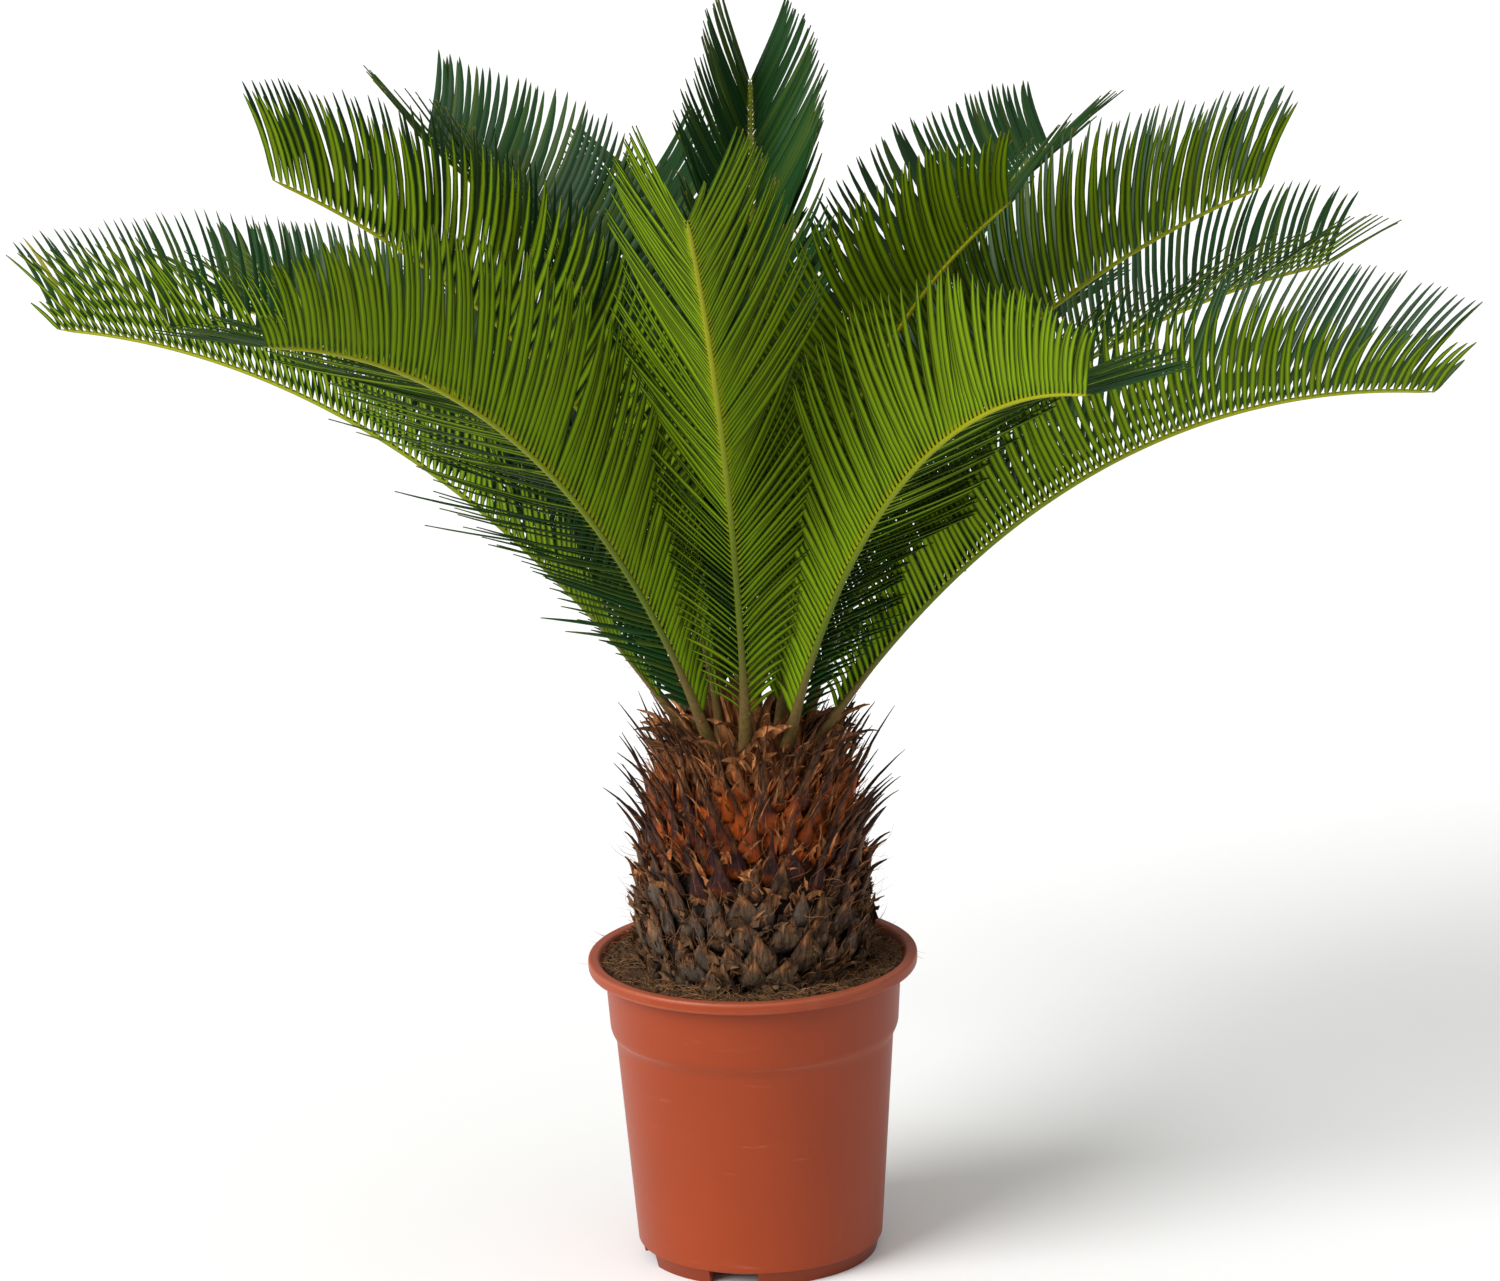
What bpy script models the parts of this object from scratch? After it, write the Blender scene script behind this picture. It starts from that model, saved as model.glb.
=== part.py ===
"""Potted sago palm: a round trunk of old leaf bases in a nursery pot, under a crown of arching fronds."""

import math

import bpy
import numpy as np
from mathutils.bvhtree import BVHTree

# Lengths are in metres and angles in degrees. An azimuth is seen from above: 0 faces the viewer
# on the -Y side, 90 points to +X.

# Pot.
RIM_RADIUS = 0.105
POT_HEIGHT = 0.1983
POT_SIDES = 60
FOOT_HEIGHT = 0.0088
FLOOR_TOP = 0.0112
NOTCH_CENTRES = (-74.0, -14.0, 106.0, 166.0)
NOTCH_WIDTH = 24.0
POT_OUTER = (
    (0.0779, FOOT_HEIGHT),
    (0.0786, 0.0120),
    (0.0885, 0.1445),
    (0.0919, 0.1518),
    (0.0945, 0.1896),
    (0.1036, 0.1904),
    (0.1046, 0.1915),
    (RIM_RADIUS, 0.1970),
    (0.1041, POT_HEIGHT),
    (0.0988, POT_HEIGHT),
)
POT_INNER = (
    (0.0974, 0.1972),
    (0.0930, 0.1885),
    (0.0902, 0.1523),
    (0.0868, 0.1440),
    (0.0770, 0.0150),
    (0.0748, FLOOR_TOP),
)
FOOT_OUTER = 0.0746
FOOT_INNER = 0.0706

# Everything that grows leans a little to +X, about a point at the soil.
GAP = 0.0003
LEAN = 1.7
LEAN_HEIGHT = 0.190

# Soil, with a plain round socket for the trunk.
SOIL_SIDES = 40
SOIL_EDGE_HEIGHT = 0.1872
SOIL_MOUND_HEIGHT = 0.1925
SOIL_MOUND_RADIUS = 0.0780
SOCKET_DEPTH = 0.030
STUB_RADIUS = 0.0580

# Trunk: old leaf bases in staggered rows up this outline of radius and height.
ROWS = 10
BASES_ROUND = 22
TRUNK_OUTLINE = (
    (0.0655, 0.1932),
    (0.0690, 0.2060),
    (0.0690, 0.2230),
    (0.0675, 0.2400),
    (0.0655, 0.2570),
    (0.0630, 0.2740),
    (0.0602, 0.2900),
    (0.0570, 0.3050),
    (0.0532, 0.3180),
    (0.0488, 0.3280),
    (0.0440, 0.3340),
)
CROWN_HEIGHT = 0.3340
BUD_RADIUS = 0.0110
BUD_HEIGHT = 0.0300

# Fronds: name, azimuth, distance of the foot from the trunk's axis, length, lean from upright at
# the foot and at the tip, how late the bend comes, turn about the midrib at the tip; then for its
# leaflets: lift out of the frond's plane at its foot and further out, how much more of it on the
# positive side, size, and how much wider they spread.
FRONDS = (
    ("frond_01", -7.0, 0.0365, 0.516, 9.5, 50.5, 0.52, 0.0, 0.0, 55.0, 8.0, 1.00, 2.0),
    ("frond_02", -39.0, 0.0370, 0.550, 27.0, 80.0, 1.26, -8.0, 28.0, 38.0, 46.0, 1.00, -2.0),
    ("frond_03", -104.0, 0.0370, 0.503, 38.0, 89.0, 1.35, -4.0, 44.0, 63.0, -13.0, 1.04, 4.0),
    ("frond_04", -78.5, 0.0200, 0.490, 1.5, 63.5, 0.77, -4.0, 0.0, 67.0, -9.0, 1.01, -1.0),
    ("frond_05", -137.0, 0.0200, 0.468, 15.5, 70.0, 1.20, 10.0, 0.0, 50.0, 14.0, 1.02, 2.0),
    ("frond_06", 180.0, 0.0200, 0.490, 12.0, 69.0, 1.20, -5.5, 0.0, 60.0, -3.0, 0.96, 2.0),
    ("frond_07", -169.0, 0.0290, 0.461, 22.5, 79.5, 1.20, 8.0, 0.0, 36.0, 4.0, 1.00, 0.5),
    ("frond_08", 48.0, 0.0200, 0.432, 4.5, 51.5, 1.20, 6.5, 0.0, 41.0, 6.0, 1.00, -10.0),
    ("frond_09", 30.0, 0.0370, 0.478, 22.0, 82.0, 1.30, 6.0, 20.0, 40.0, -34.0, 0.99, -2.0),
    ("frond_10", 85.0, 0.0200, 0.490, 2.0, 66.0, 0.75, -3.0, 0.0, 59.0, -9.0, 1.04, 4.0),
    ("frond_11", 109.0, 0.0330, 0.486, 6.0, 83.0, 0.70, 4.0, 0.0, 42.0, 14.0, 0.95, 3.0),
    ("frond_12", 62.0, 0.0370, 0.521, 34.5, 87.5, 1.45, -13.0, 52.0, 56.0, -6.0, 1.00, 4.0),
    ("frond_13", 146.0, 0.0200, 0.490, 19.5, 77.0, 1.20, -8.0, 0.0, 37.0, -12.0, 0.92, 2.0),
    ("frond_14", -129.0, 0.0370, 0.480, 44.5, 86.0, 1.45, 5.0, 0.0, 52.0, -4.0, 0.98, -2.0),
    ("frond_15", 150.0, 0.0370, 0.440, 38.0, 90.0, 1.15, -5.5, 0.0, 45.0, 5.0, 1.00, -2.0),
    ("frond_16", -152.0, 0.0370, 0.425, 42.5, 88.0, 1.25, 0.0, 0.0, 48.0, 0.0, 1.00, -2.0),
)
LEAFLETS_A_SIDE = 21
BARE_SHARE = 0.10
PETIOLE_RINGS = 4
LEAFLET_WIDTH = 0.0066
LEAFLET_THICKNESS = 0.0009
TIP_THICKNESS = 0.0006
LONGEST_LEAFLET = 0.112
TIP_FALL = 0.42
CLEARANCE = 0.0004


def polar(radius, azimuth, height):
    """Points at these radii, azimuths in degrees and heights, as rows of x, y, z."""
    angle = np.radians(azimuth)
    radius, angle, height = np.broadcast_arrays(radius, angle, height)
    return np.stack([radius * np.sin(angle), -radius * np.cos(angle), height], axis=-1)


def leaned(points):
    """Points of the upright plant, turned by the plant's lean about the point at the soil."""
    angle = math.radians(LEAN)
    turn = np.array(
        [
            [math.cos(angle), 0.0, math.sin(angle)],
            [0.0, 1.0, 0.0],
            [-math.sin(angle), 0.0, math.cos(angle)],
        ]
    )
    pivot = np.array([0.0, 0.0, LEAN_HEIGHT])
    return (np.asarray(points) - pivot) @ turn.T + pivot


def unit(vector):
    return vector / np.linalg.norm(vector)


class Shell:
    """The points and triangles of one closed body."""

    def __init__(self):
        self.points = []
        self.faces = []

    def add(self, points):
        start = len(self.points)
        self.points.extend(np.asarray(points, dtype=float).reshape(-1, 3))
        return list(range(start, len(self.points)))

    def quad(self, a, b, c, d):
        self.faces.append((a, b, c))
        self.faces.append((a, c, d))

    def band(self, lower, upper):
        """Quads between two rings of equal length, facing outwards when they run anticlockwise."""
        count = len(lower)
        for i in range(count):
            j = (i + 1) % count
            self.quad(lower[i], lower[j], upper[j], upper[i])

    def fan(self, ring, centre, upwards):
        count = len(ring)
        for i in range(count):
            j = (i + 1) % count
            pair = (ring[i], ring[j]) if upwards else (ring[j], ring[i])
            self.faces.append((pair[0], pair[1], centre))

    def tree(self, epsilon=0.0):
        points = [tuple(p) for p in self.points]
        return BVHTree.FromPolygons(points, self.faces, epsilon=epsilon)


def pot_shell():
    """A lathed pot; its foot ring is left out over the drain notches."""
    shell = Shell()
    step = 360.0 / POT_SIDES
    azimuths = NOTCH_CENTRES[1] - NOTCH_WIDTH / 2 + step * np.arange(POT_SIDES)

    def ring(radius, height):
        return shell.add(polar(radius, azimuths, height))

    rings = [ring(radius, height) for radius, height in POT_OUTER + POT_INNER]
    for lower, upper in zip(rings, rings[1:]):
        shell.band(lower, upper)
    shell.fan(rings[-1], shell.add([(0.0, 0.0, FLOOR_TOP)])[0], True)
    crease = rings[0]
    outer = ring(FOOT_OUTER, 0.0)
    inner = ring(FOOT_INNER, 0.0)
    under = ring(FOOT_INNER, FOOT_HEIGHT)
    shell.fan(under, shell.add([(0.0, 0.0, FOOT_HEIGHT)])[0], False)

    def notched(i):
        middle = azimuths[i % POT_SIDES] + step / 2
        for centre in NOTCH_CENTRES:
            if abs((middle - centre + 180.0) % 360.0 - 180.0) < NOTCH_WIDTH / 2:
                return True
        return False

    for i in range(POT_SIDES):
        j = (i + 1) % POT_SIDES
        if notched(i):
            shell.quad(under[i], under[j], crease[j], crease[i])
            continue
        shell.quad(outer[i], outer[j], crease[j], crease[i])
        shell.quad(inner[i], inner[j], outer[j], outer[i])
        shell.quad(under[i], under[j], inner[j], inner[i])
        if notched(i - 1):
            shell.quad(crease[i], under[i], inner[i], outer[i])
        if notched(i + 1):
            shell.quad(crease[j], outer[j], inner[j], under[j])
    return without_loose_points(shell)


def without_loose_points(shell):
    used = sorted({i for face in shell.faces for i in face})
    place = {old: new for new, old in enumerate(used)}
    tidy = Shell()
    tidy.points = [shell.points[i] for i in used]
    tidy.faces = [tuple(place[i] for i in face) for face in shell.faces]
    return tidy


def soil_shell():
    """Fills the pot up to a low mound and keeps the trunk's socket, which leans with the trunk."""
    shell = Shell()
    azimuths = 360.0 / SOIL_SIDES * np.arange(SOIL_SIDES)
    # The corners of both rounds stay clear of the wall's flats.
    inset = GAP + RIM_RADIUS * (1.0 - math.cos(math.pi / POT_SIDES)) + 0.0001
    outline = [(POT_INNER[-1][0] - inset, FLOOR_TOP + GAP)]
    outline += [(r - inset, z) for r, z in reversed(POT_INNER[1:-1]) if z < SOIL_EDGE_HEIGHT]
    outline.append((POT_INNER[1][0] - inset - 0.0001, SOIL_EDGE_HEIGHT))
    rings = [shell.add(polar(radius, azimuths, height)) for radius, height in outline]
    shell.fan(rings[0], shell.add([(0.0, 0.0, FLOOR_TOP + GAP)])[0], False)
    socket = STUB_RADIUS + GAP + STUB_RADIUS * (1.0 - math.cos(math.pi / SOIL_SIDES))
    floor = LEAN_HEIGHT - SOCKET_DEPTH
    for radius, height in (
        (SOIL_MOUND_RADIUS, SOIL_MOUND_HEIGHT - 0.0012),
        (socket, SOIL_MOUND_HEIGHT),
        (socket, floor),
    ):
        rings.append(shell.add(leaned(polar(radius, azimuths, height))))
    for lower, upper in zip(rings, rings[1:]):
        shell.band(lower, upper)
    shell.fan(rings[-1], shell.add([leaned((0.0, 0.0, floor))])[0], True)
    return shell


def midrib(frond, share):
    """Place, tangent, upper normal and side of the midrib at this share of its length."""
    _, azimuth, foot, length, lean, droop, late, turn, *_ = frond
    steps = 48
    at = (np.arange(steps) + 0.5) / steps * share
    angles = np.radians(lean + (droop - lean) * at**late)
    radius = foot + np.sin(angles).mean() * length * share
    height = CROWN_HEIGHT + GAP + np.cos(angles).mean() * length * share
    angle = math.radians(lean + (droop - lean) * share**late)
    out = polar(1.0, azimuth, 0.0)
    up = np.array([0.0, 0.0, 1.0])
    tangent = math.sin(angle) * out + math.cos(angle) * up
    normal = math.sin(angle) * up - math.cos(angle) * out
    side = np.cross(normal, tangent)
    roll = math.radians(turn * share)
    normal, side = (
        math.cos(roll) * normal + math.sin(roll) * side,
        math.cos(roll) * side - math.sin(roll) * normal,
    )
    return polar(radius, azimuth, height), tangent, normal, side


def midrib_ring(frond, share):
    """Three corners of the midrib: two along its lower face and one along its upper ridge."""
    place, _, normal, side = midrib(frond, share)
    slim = 1.0 - share
    wide = 0.0021 + 0.0022 * slim + 0.0066 * max(0.0, 1.0 - share / 0.16) ** 1.5
    tall = 0.0019 + 0.0018 * slim + 0.0040 * max(0.0, 1.0 - share / 0.16) ** 1.5
    if share == 0.0:
        # The foot stands flat on the crown.
        normal = polar(-1.0, frond[1], 0.0)
        side = np.cross(normal, np.array([0.0, 0.0, 1.0]))
    corners = np.array(
        [
            place - side * wide / 2 - normal * tall / 2,
            place + side * wide / 2 - normal * tall / 2,
            place + normal * tall / 2,
        ]
    )
    return leaned(corners)


def shares():
    """Where the midrib's rings lie: a few up the bare stalk, then one at each leaflet's edge."""
    bare = [BARE_SHARE * (i / PETIOLE_RINGS) for i in range(PETIOLE_RINGS)]
    count = 2 * LEAFLETS_A_SIDE
    leafy = [BARE_SHARE + (1.0 - BARE_SHARE) * i / count for i in range(count + 1)]
    return bare, leafy


def midrib_shell(frond):
    """The midrib alone, closed, for testing what lies near it."""
    shell = Shell()
    bare, leafy = shares()
    rings = [shell.add(midrib_ring(frond, share)) for share in bare + leafy]
    for lower, upper in zip(rings, rings[1:]):
        shell.band(lower, upper)
    shell.faces.append((rings[0][2], rings[0][1], rings[0][0]))
    shell.faces.append(tuple(rings[-1]))
    return shell


def leaflet(frond, low, high, side_sign, spread, lift, scale, grow=0.0):
    """Mid section and tip of the leaflet that grows on the midrib between two shares.

    spread turns it away from the midrib's tangent, lift raises it out of the frond's plane, and
    grow swells it for a test of what it would touch.
    """
    *_, foot_lift, full_lift, skew, size, opening = frond
    share = (low + high) / 2
    place, tangent, normal, side = midrib(frond, share)
    along = (share - BARE_SHARE) / (1.0 - BARE_SHARE)
    rise = min(1.0, along / 0.42)
    length = LONGEST_LEAFLET * (0.24 + 0.76 * math.sin(rise * math.pi / 2) ** 1.2)
    length *= 1.0 - TIP_FALL * max(0.0, (along - 0.55) / 0.45) ** 1.5
    length *= size * scale
    angle = 46.0 + 14.0 * min(1.0, along / 0.35) - 14.0 * max(0.0, along - 0.5) / 0.5
    angle += opening + spread + 0.40 * max(0.0, -side_sign * skew) * (1.0 - along)
    grown = min(1.0, along / 0.38)
    raised = foot_lift + (full_lift - foot_lift) * grown + side_sign * skew * (1.0 - 0.4 * along)
    raised = math.radians(raised + lift)
    out = math.cos(raised) * side_sign * side + math.sin(raised) * normal

    def heading(degrees):
        return math.cos(math.radians(degrees)) * tangent + math.sin(math.radians(degrees)) * out

    first, chord = heading(angle + 7.0), heading(angle)
    middle = place + first * (0.42 * length)
    tip = place + chord * length
    across = unit(tangent - tangent.dot(first) * first)
    thick = unit(side_sign * np.cross(first, across))
    if thick.dot(normal) < 0.0:
        thick = -thick
    half = LEAFLET_WIDTH * (0.55 + 0.45 * rise) * (1.0 - 0.3 * along) / 2 + grow
    flat = LEAFLET_THICKNESS / 2 + grow
    blade = [
        middle - across * half - thick * flat,
        middle - across * half + thick * flat,
        middle + across * half - thick * flat,
        middle + across * half + thick * flat,
        tip - thick * (TIP_THICKNESS / 2 + grow) + chord * grow,
        tip + thick * (TIP_THICKNESS / 2 + grow) + chord * grow,
    ]
    return leaned(np.array(blade))


def leaflet_faces(root, blade, side_sign):
    """Triangles of one leaflet, split alike on both faces.

    root holds the midrib's corners: lower and upper at the near edge, then at the far edge.
    """
    near_low, near_up, far_low, far_up = root
    a_low, a_up, b_low, b_up, t_low, t_up = blade
    faces = [
        (near_up, a_up, b_up),
        (near_up, b_up, far_up),
        (near_low, b_low, a_low),
        (near_low, far_low, b_low),
        (near_low, a_low, a_up),
        (near_low, a_up, near_up),
        (far_low, b_up, b_low),
        (far_low, far_up, b_up),
        (a_up, t_up, b_up),
        (a_low, b_low, t_low),
        (a_low, t_low, t_up),
        (a_low, t_up, a_up),
        (b_low, t_up, t_low),
        (b_low, b_up, t_up),
    ]
    if side_sign < 0:
        return faces
    return [face[::-1] for face in faces]


def frond_shell(frond, obstacles):
    """Midrib with leaflets grown out of its sides by turns, each bent clear of what is near it."""
    shell = Shell()
    bare, leafy = shares()
    rings = [shell.add(midrib_ring(frond, share)) for share in bare + leafy]
    shell.faces.append((rings[0][2], rings[0][1], rings[0][0]))
    shell.faces.append(tuple(rings[-1]))
    first = len(bare)
    for lower, upper in zip(rings[:first], rings[1 : first + 1]):
        shell.band(lower, upper)
    for i, (low, high) in enumerate(zip(leafy, leafy[1:])):
        a, b = rings[first + i], rings[first + i + 1]
        shell.quad(a[0], a[1], b[1], b[0])
        # Corner 0 is the lower one on the side's negative side, 1 on its positive side.
        right = i % 2 == 0
        if right:
            shell.quad(a[2], a[0], b[0], b[2])
            root = (a[1], a[2], b[1], b[2])
        else:
            shell.quad(a[1], a[2], b[2], b[1])
            root = (a[0], a[2], b[0], b[2])
        sign = 1 if right else -1
        blade = shell.add(clear_leaflet(frond, low, high, sign, shell, root, obstacles))
        shell.faces.extend(leaflet_faces(root, blade, sign))
    return shell


def clear_leaflet(frond, low, high, sign, shell, root, obstacles):
    """The first leaflet, of ever more bent or shorter ones, that touches no other body."""
    tries = [(0.0, 0.0, 1.0)]
    for scale in (1.0, 0.85, 0.7, 0.5, 0.3, 0.15):
        for spread in (0.0, -7.0, 7.0, -14.0, 14.0):
            for lift in (0.0, 8.0, -8.0, 16.0, -16.0):
                tries.append((spread, lift, scale))
    base = [shell.points[i] for i in root]
    for spread, lift, scale in tries:
        swollen = leaflet(frond, low, high, sign, spread, lift, scale, CLEARANCE)
        points = [tuple(p) for p in list(base) + list(swollen)]
        faces = leaflet_faces((0, 1, 2, 3), (4, 5, 6, 7, 8, 9), sign)
        tree = BVHTree.FromPolygons(points, faces, epsilon=0.0)
        if not any(tree.overlap(other) for other in obstacles):
            return leaflet(frond, low, high, sign, spread, lift, scale)
    raise ValueError(f"no room for a leaflet of {frond[0]} at {low:.3f}")


def trunk_point(row, place):
    """Point and outward normal on the trunk's outline, at a row that need not be whole."""
    row = min(max(row, 0.0), ROWS)
    low = min(int(row), ROWS - 1)
    (r0, z0), (r1, z1) = TRUNK_OUTLINE[low], TRUNK_OUTLINE[low + 1]
    part = row - low
    azimuth = 360.0 * place / BASES_ROUND
    point = polar(r0 + (r1 - r0) * part, azimuth, z0 + (z1 - z0) * part)
    out = polar(1.0, azimuth, 0.0)
    slope = unit(np.array([z1 - z0, r0 - r1]))
    return point, slope[0] * out + slope[1] * np.array([0.0, 0.0, 1.0])


def base_tip(row, place, reach):
    """Collar points and tip of the old leaf base centred on this row and place.

    High up it is drawn out into a spine, low down it stays a blunt stub. reach shortens a spine.
    """
    centre, normal = trunk_point(row, place)
    out = polar(1.0, 360.0 * place / BASES_ROUND, 0.0)
    up = np.array([0.0, 0.0, 1.0])
    high = min(1.0, max(0.0, (row - 3.0) / 4.0))
    wobble = 0.5 + 0.5 * math.sin(12.9898 * place + 78.233 * row)
    collar = 0.42 - 0.16 * high
    swell = 0.0050 - 0.0012 * high
    corners = []
    for dr, dp in ((-1.0, 0.0), (0.0, 0.5), (1.0, 0.0), (0.0, -0.5)):
        corner, _ = trunk_point(row + dr, place + dp)
        corners.append(centre + collar * (corner - centre) + swell * normal + 0.0020 * up)
    length = 0.0045 + 0.0035 * wobble + (0.0220 + 0.0130 * wobble) * high * reach
    tilt = math.radians(66.0 - 3.2 * row + 14.0 * (wobble - 0.5))
    tip = centre + swell * normal + length * (math.sin(tilt) * out + math.cos(tilt) * up)
    return corners + [tip + 0.0030 * up]


def trunk_shell(obstacles):
    """A stub in the soil, then rows of raised leaf bases up to a flat crown with a bud."""
    shell = Shell()
    rows = []
    for row in range(ROWS + 1):
        shift = 0.5 if row % 2 else 0.0
        points = [trunk_point(row, k + shift)[0] for k in range(BASES_ROUND)]
        rows.append(shell.add(leaned(points)))
    azimuths = 360.0 / BASES_ROUND * np.arange(BASES_ROUND)
    bottom = LEAN_HEIGHT - SOCKET_DEPTH + GAP
    foot = shell.add(leaned(polar(STUB_RADIUS, azimuths, bottom)))
    neck = shell.add(leaned(polar(STUB_RADIUS, azimuths, TRUNK_OUTLINE[0][1])))
    shell.fan(foot, shell.add([leaned((0.0, 0.0, bottom))])[0], False)
    shell.band(foot, neck)
    shell.band(neck, rows[0])
    bud = shell.add(leaned(polar(BUD_RADIUS, azimuths, CROWN_HEIGHT)))
    shell.band(rows[-1], bud)
    shell.fan(bud, shell.add([leaned((0.0, 0.0, CROWN_HEIGHT + BUD_HEIGHT))])[0], True)
    count = BASES_ROUND
    for k in range(count):
        after = (k + 1) % count
        shell.faces.append((rows[0][k], rows[0][after], rows[1][k]))
        shell.faces.append((rows[ROWS - 1][k], rows[ROWS][after], rows[ROWS][k]))
    for row in range(1, ROWS):
        for k in range(count):
            # A base sits between two points of its own row, over one below and under one above.
            right = rows[row][k if row % 2 else (k + 1) % count]
            left = rows[row][k - 1 if row % 2 else k]
            outer = (rows[row - 1][k], right, rows[row + 1][k], left)
            add_base(shell, outer, row, k if row % 2 else k + 0.5, obstacles)
    return shell


def add_base(shell, outer, row, place, obstacles):
    """One leaf base over the four points round it: below, right, above and left."""
    for reach in (1.0, 0.8, 0.6, 0.4, 0.2, 0.0):
        points = leaned(np.array(base_tip(float(row), place, reach)))
        tree = BVHTree.FromPolygons(
            [tuple(p) for p in points],
            [(0, 1, 4), (1, 2, 4), (2, 3, 4), (3, 0, 4)],
            epsilon=CLEARANCE,
        )
        if not any(tree.overlap(other) for other in obstacles):
            break
    collar = shell.add(points)
    tip = collar.pop()
    shell.band(outer, collar)
    for i in range(4):
        shell.faces.append((collar[i], collar[(i + 1) % 4], tip))


def material(name, colour, roughness):
    made = bpy.data.materials.new(name)
    made.use_nodes = True
    shader = made.node_tree.nodes["Principled BSDF"]
    shader.inputs["Base Color"].default_value = (*colour, 1.0)
    shader.inputs["Roughness"].default_value = roughness
    shader.inputs["Metallic"].default_value = 0.0
    made.diffuse_color = (*colour, 1.0)
    return made


def node(name, shell, look, place, smooth=False):
    mesh = bpy.data.meshes.new(name)
    mesh.from_pydata([tuple(p) for p in shell.points], [], shell.faces)
    mesh.validate()
    mesh.polygons.foreach_set("use_smooth", [smooth] * len(mesh.polygons))
    if smooth:
        mesh.set_sharp_from_angle(angle=math.radians(30.0))
    mesh.materials.append(look)
    made = bpy.data.objects.new(name, mesh)
    made.location = place
    bpy.context.scene.collection.objects.link(made)
    return made


def main():
    for old in list(bpy.data.objects):
        bpy.data.objects.remove(old)
    plastic = material("pot_plastic", (0.42, 0.10, 0.04), 0.42)
    peat = material("soil", (0.060, 0.032, 0.018), 0.95)
    bark = material("trunk", (0.16, 0.085, 0.045), 0.85)
    leaf = material("leaf", (0.075, 0.19, 0.022), 0.40)
    midribs = [midrib_shell(frond).tree() for frond in FRONDS]
    trunk = trunk_shell(midribs)
    shells = [("pot", pot_shell(), plastic), ("soil", soil_shell(), peat), ("trunk", trunk, bark)]
    grown = [trunk.tree()]
    for i, frond in enumerate(FRONDS):
        others = [tree for j, tree in enumerate(midribs) if j > i]
        shell = frond_shell(frond, grown + others)
        grown.append(shell.tree())
        shells.append((frond[0], shell, leaf))
    # The origin is under the middle of the whole plant's spread, so the pot stands just off it.
    everything = np.concatenate([np.array(shell.points) for _, shell, _ in shells])
    middle = (everything.min(axis=0) + everything.max(axis=0)) / 2
    shift = np.array([-middle[0], -middle[1], 0.0])
    for name, shell, look in shells:
        node(name, shell, look, shift, smooth=name == "pot")


if __name__ == "__main__":
    main()
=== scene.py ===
"""Potted sago palm: fine fronds, trunk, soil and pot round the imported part, in a plain studio."""

import math

import bpy
import numpy as np
from bpy.props import FloatProperty, FloatVectorProperty, IntProperty, PointerProperty
from mathutils import Matrix, Vector


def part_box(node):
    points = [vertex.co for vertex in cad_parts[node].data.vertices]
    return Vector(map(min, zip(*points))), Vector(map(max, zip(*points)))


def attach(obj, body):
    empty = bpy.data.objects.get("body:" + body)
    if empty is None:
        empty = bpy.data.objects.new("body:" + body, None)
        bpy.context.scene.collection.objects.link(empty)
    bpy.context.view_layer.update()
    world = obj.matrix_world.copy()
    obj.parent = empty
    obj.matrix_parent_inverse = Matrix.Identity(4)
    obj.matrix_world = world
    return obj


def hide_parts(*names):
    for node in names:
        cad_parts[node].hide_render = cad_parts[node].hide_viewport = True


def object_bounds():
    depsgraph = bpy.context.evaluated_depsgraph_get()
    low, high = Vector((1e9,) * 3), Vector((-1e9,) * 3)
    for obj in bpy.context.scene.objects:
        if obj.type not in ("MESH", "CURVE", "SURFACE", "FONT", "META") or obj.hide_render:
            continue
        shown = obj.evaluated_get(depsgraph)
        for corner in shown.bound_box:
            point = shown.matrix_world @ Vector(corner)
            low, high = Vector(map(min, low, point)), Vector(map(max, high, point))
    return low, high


bl_info = {
    "name": "Potted sago palm",
    "version": (1, 0, 0),
    "blender": (4, 5, 0),
    "location": "3D View > Sidebar > Sago Palm",
    "description": "Builds the fine fronds, trunk, soil and pot of a potted sago palm",
    "category": "Add Mesh",
}

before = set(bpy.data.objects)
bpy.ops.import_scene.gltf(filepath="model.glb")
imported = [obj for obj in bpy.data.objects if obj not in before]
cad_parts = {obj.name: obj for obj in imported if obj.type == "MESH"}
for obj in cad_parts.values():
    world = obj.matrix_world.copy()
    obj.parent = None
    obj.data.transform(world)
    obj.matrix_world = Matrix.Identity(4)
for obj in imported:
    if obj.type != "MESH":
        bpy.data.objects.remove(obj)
CAD_LOW, CAD_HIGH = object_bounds()
POT_LOW, POT_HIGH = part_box("pot")
AXIS = np.array([(POT_LOW.x + POT_HIGH.x) / 2, (POT_LOW.y + POT_HIGH.y) / 2, 0.0])
UP = np.array([0.0, 0.0, 1.0])

# Lengths are in metres and angles in degrees. An azimuth is seen from above: 0 faces the viewer
# on the -Y side, 90 points to +X. Shapes are worked out about the pot's axis and then moved to it.
# The plant leans to the right above a point on that axis. The fronds stand a gap above the crown,
# and leaflets keep a margin inside the room that the solids take.
LEAN = 1.7
LEAN_HEIGHT = 0.190
CROWN_HEIGHT = 0.3340
GAP = 0.0003
ROOM_MARGIN = 0.0012

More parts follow.
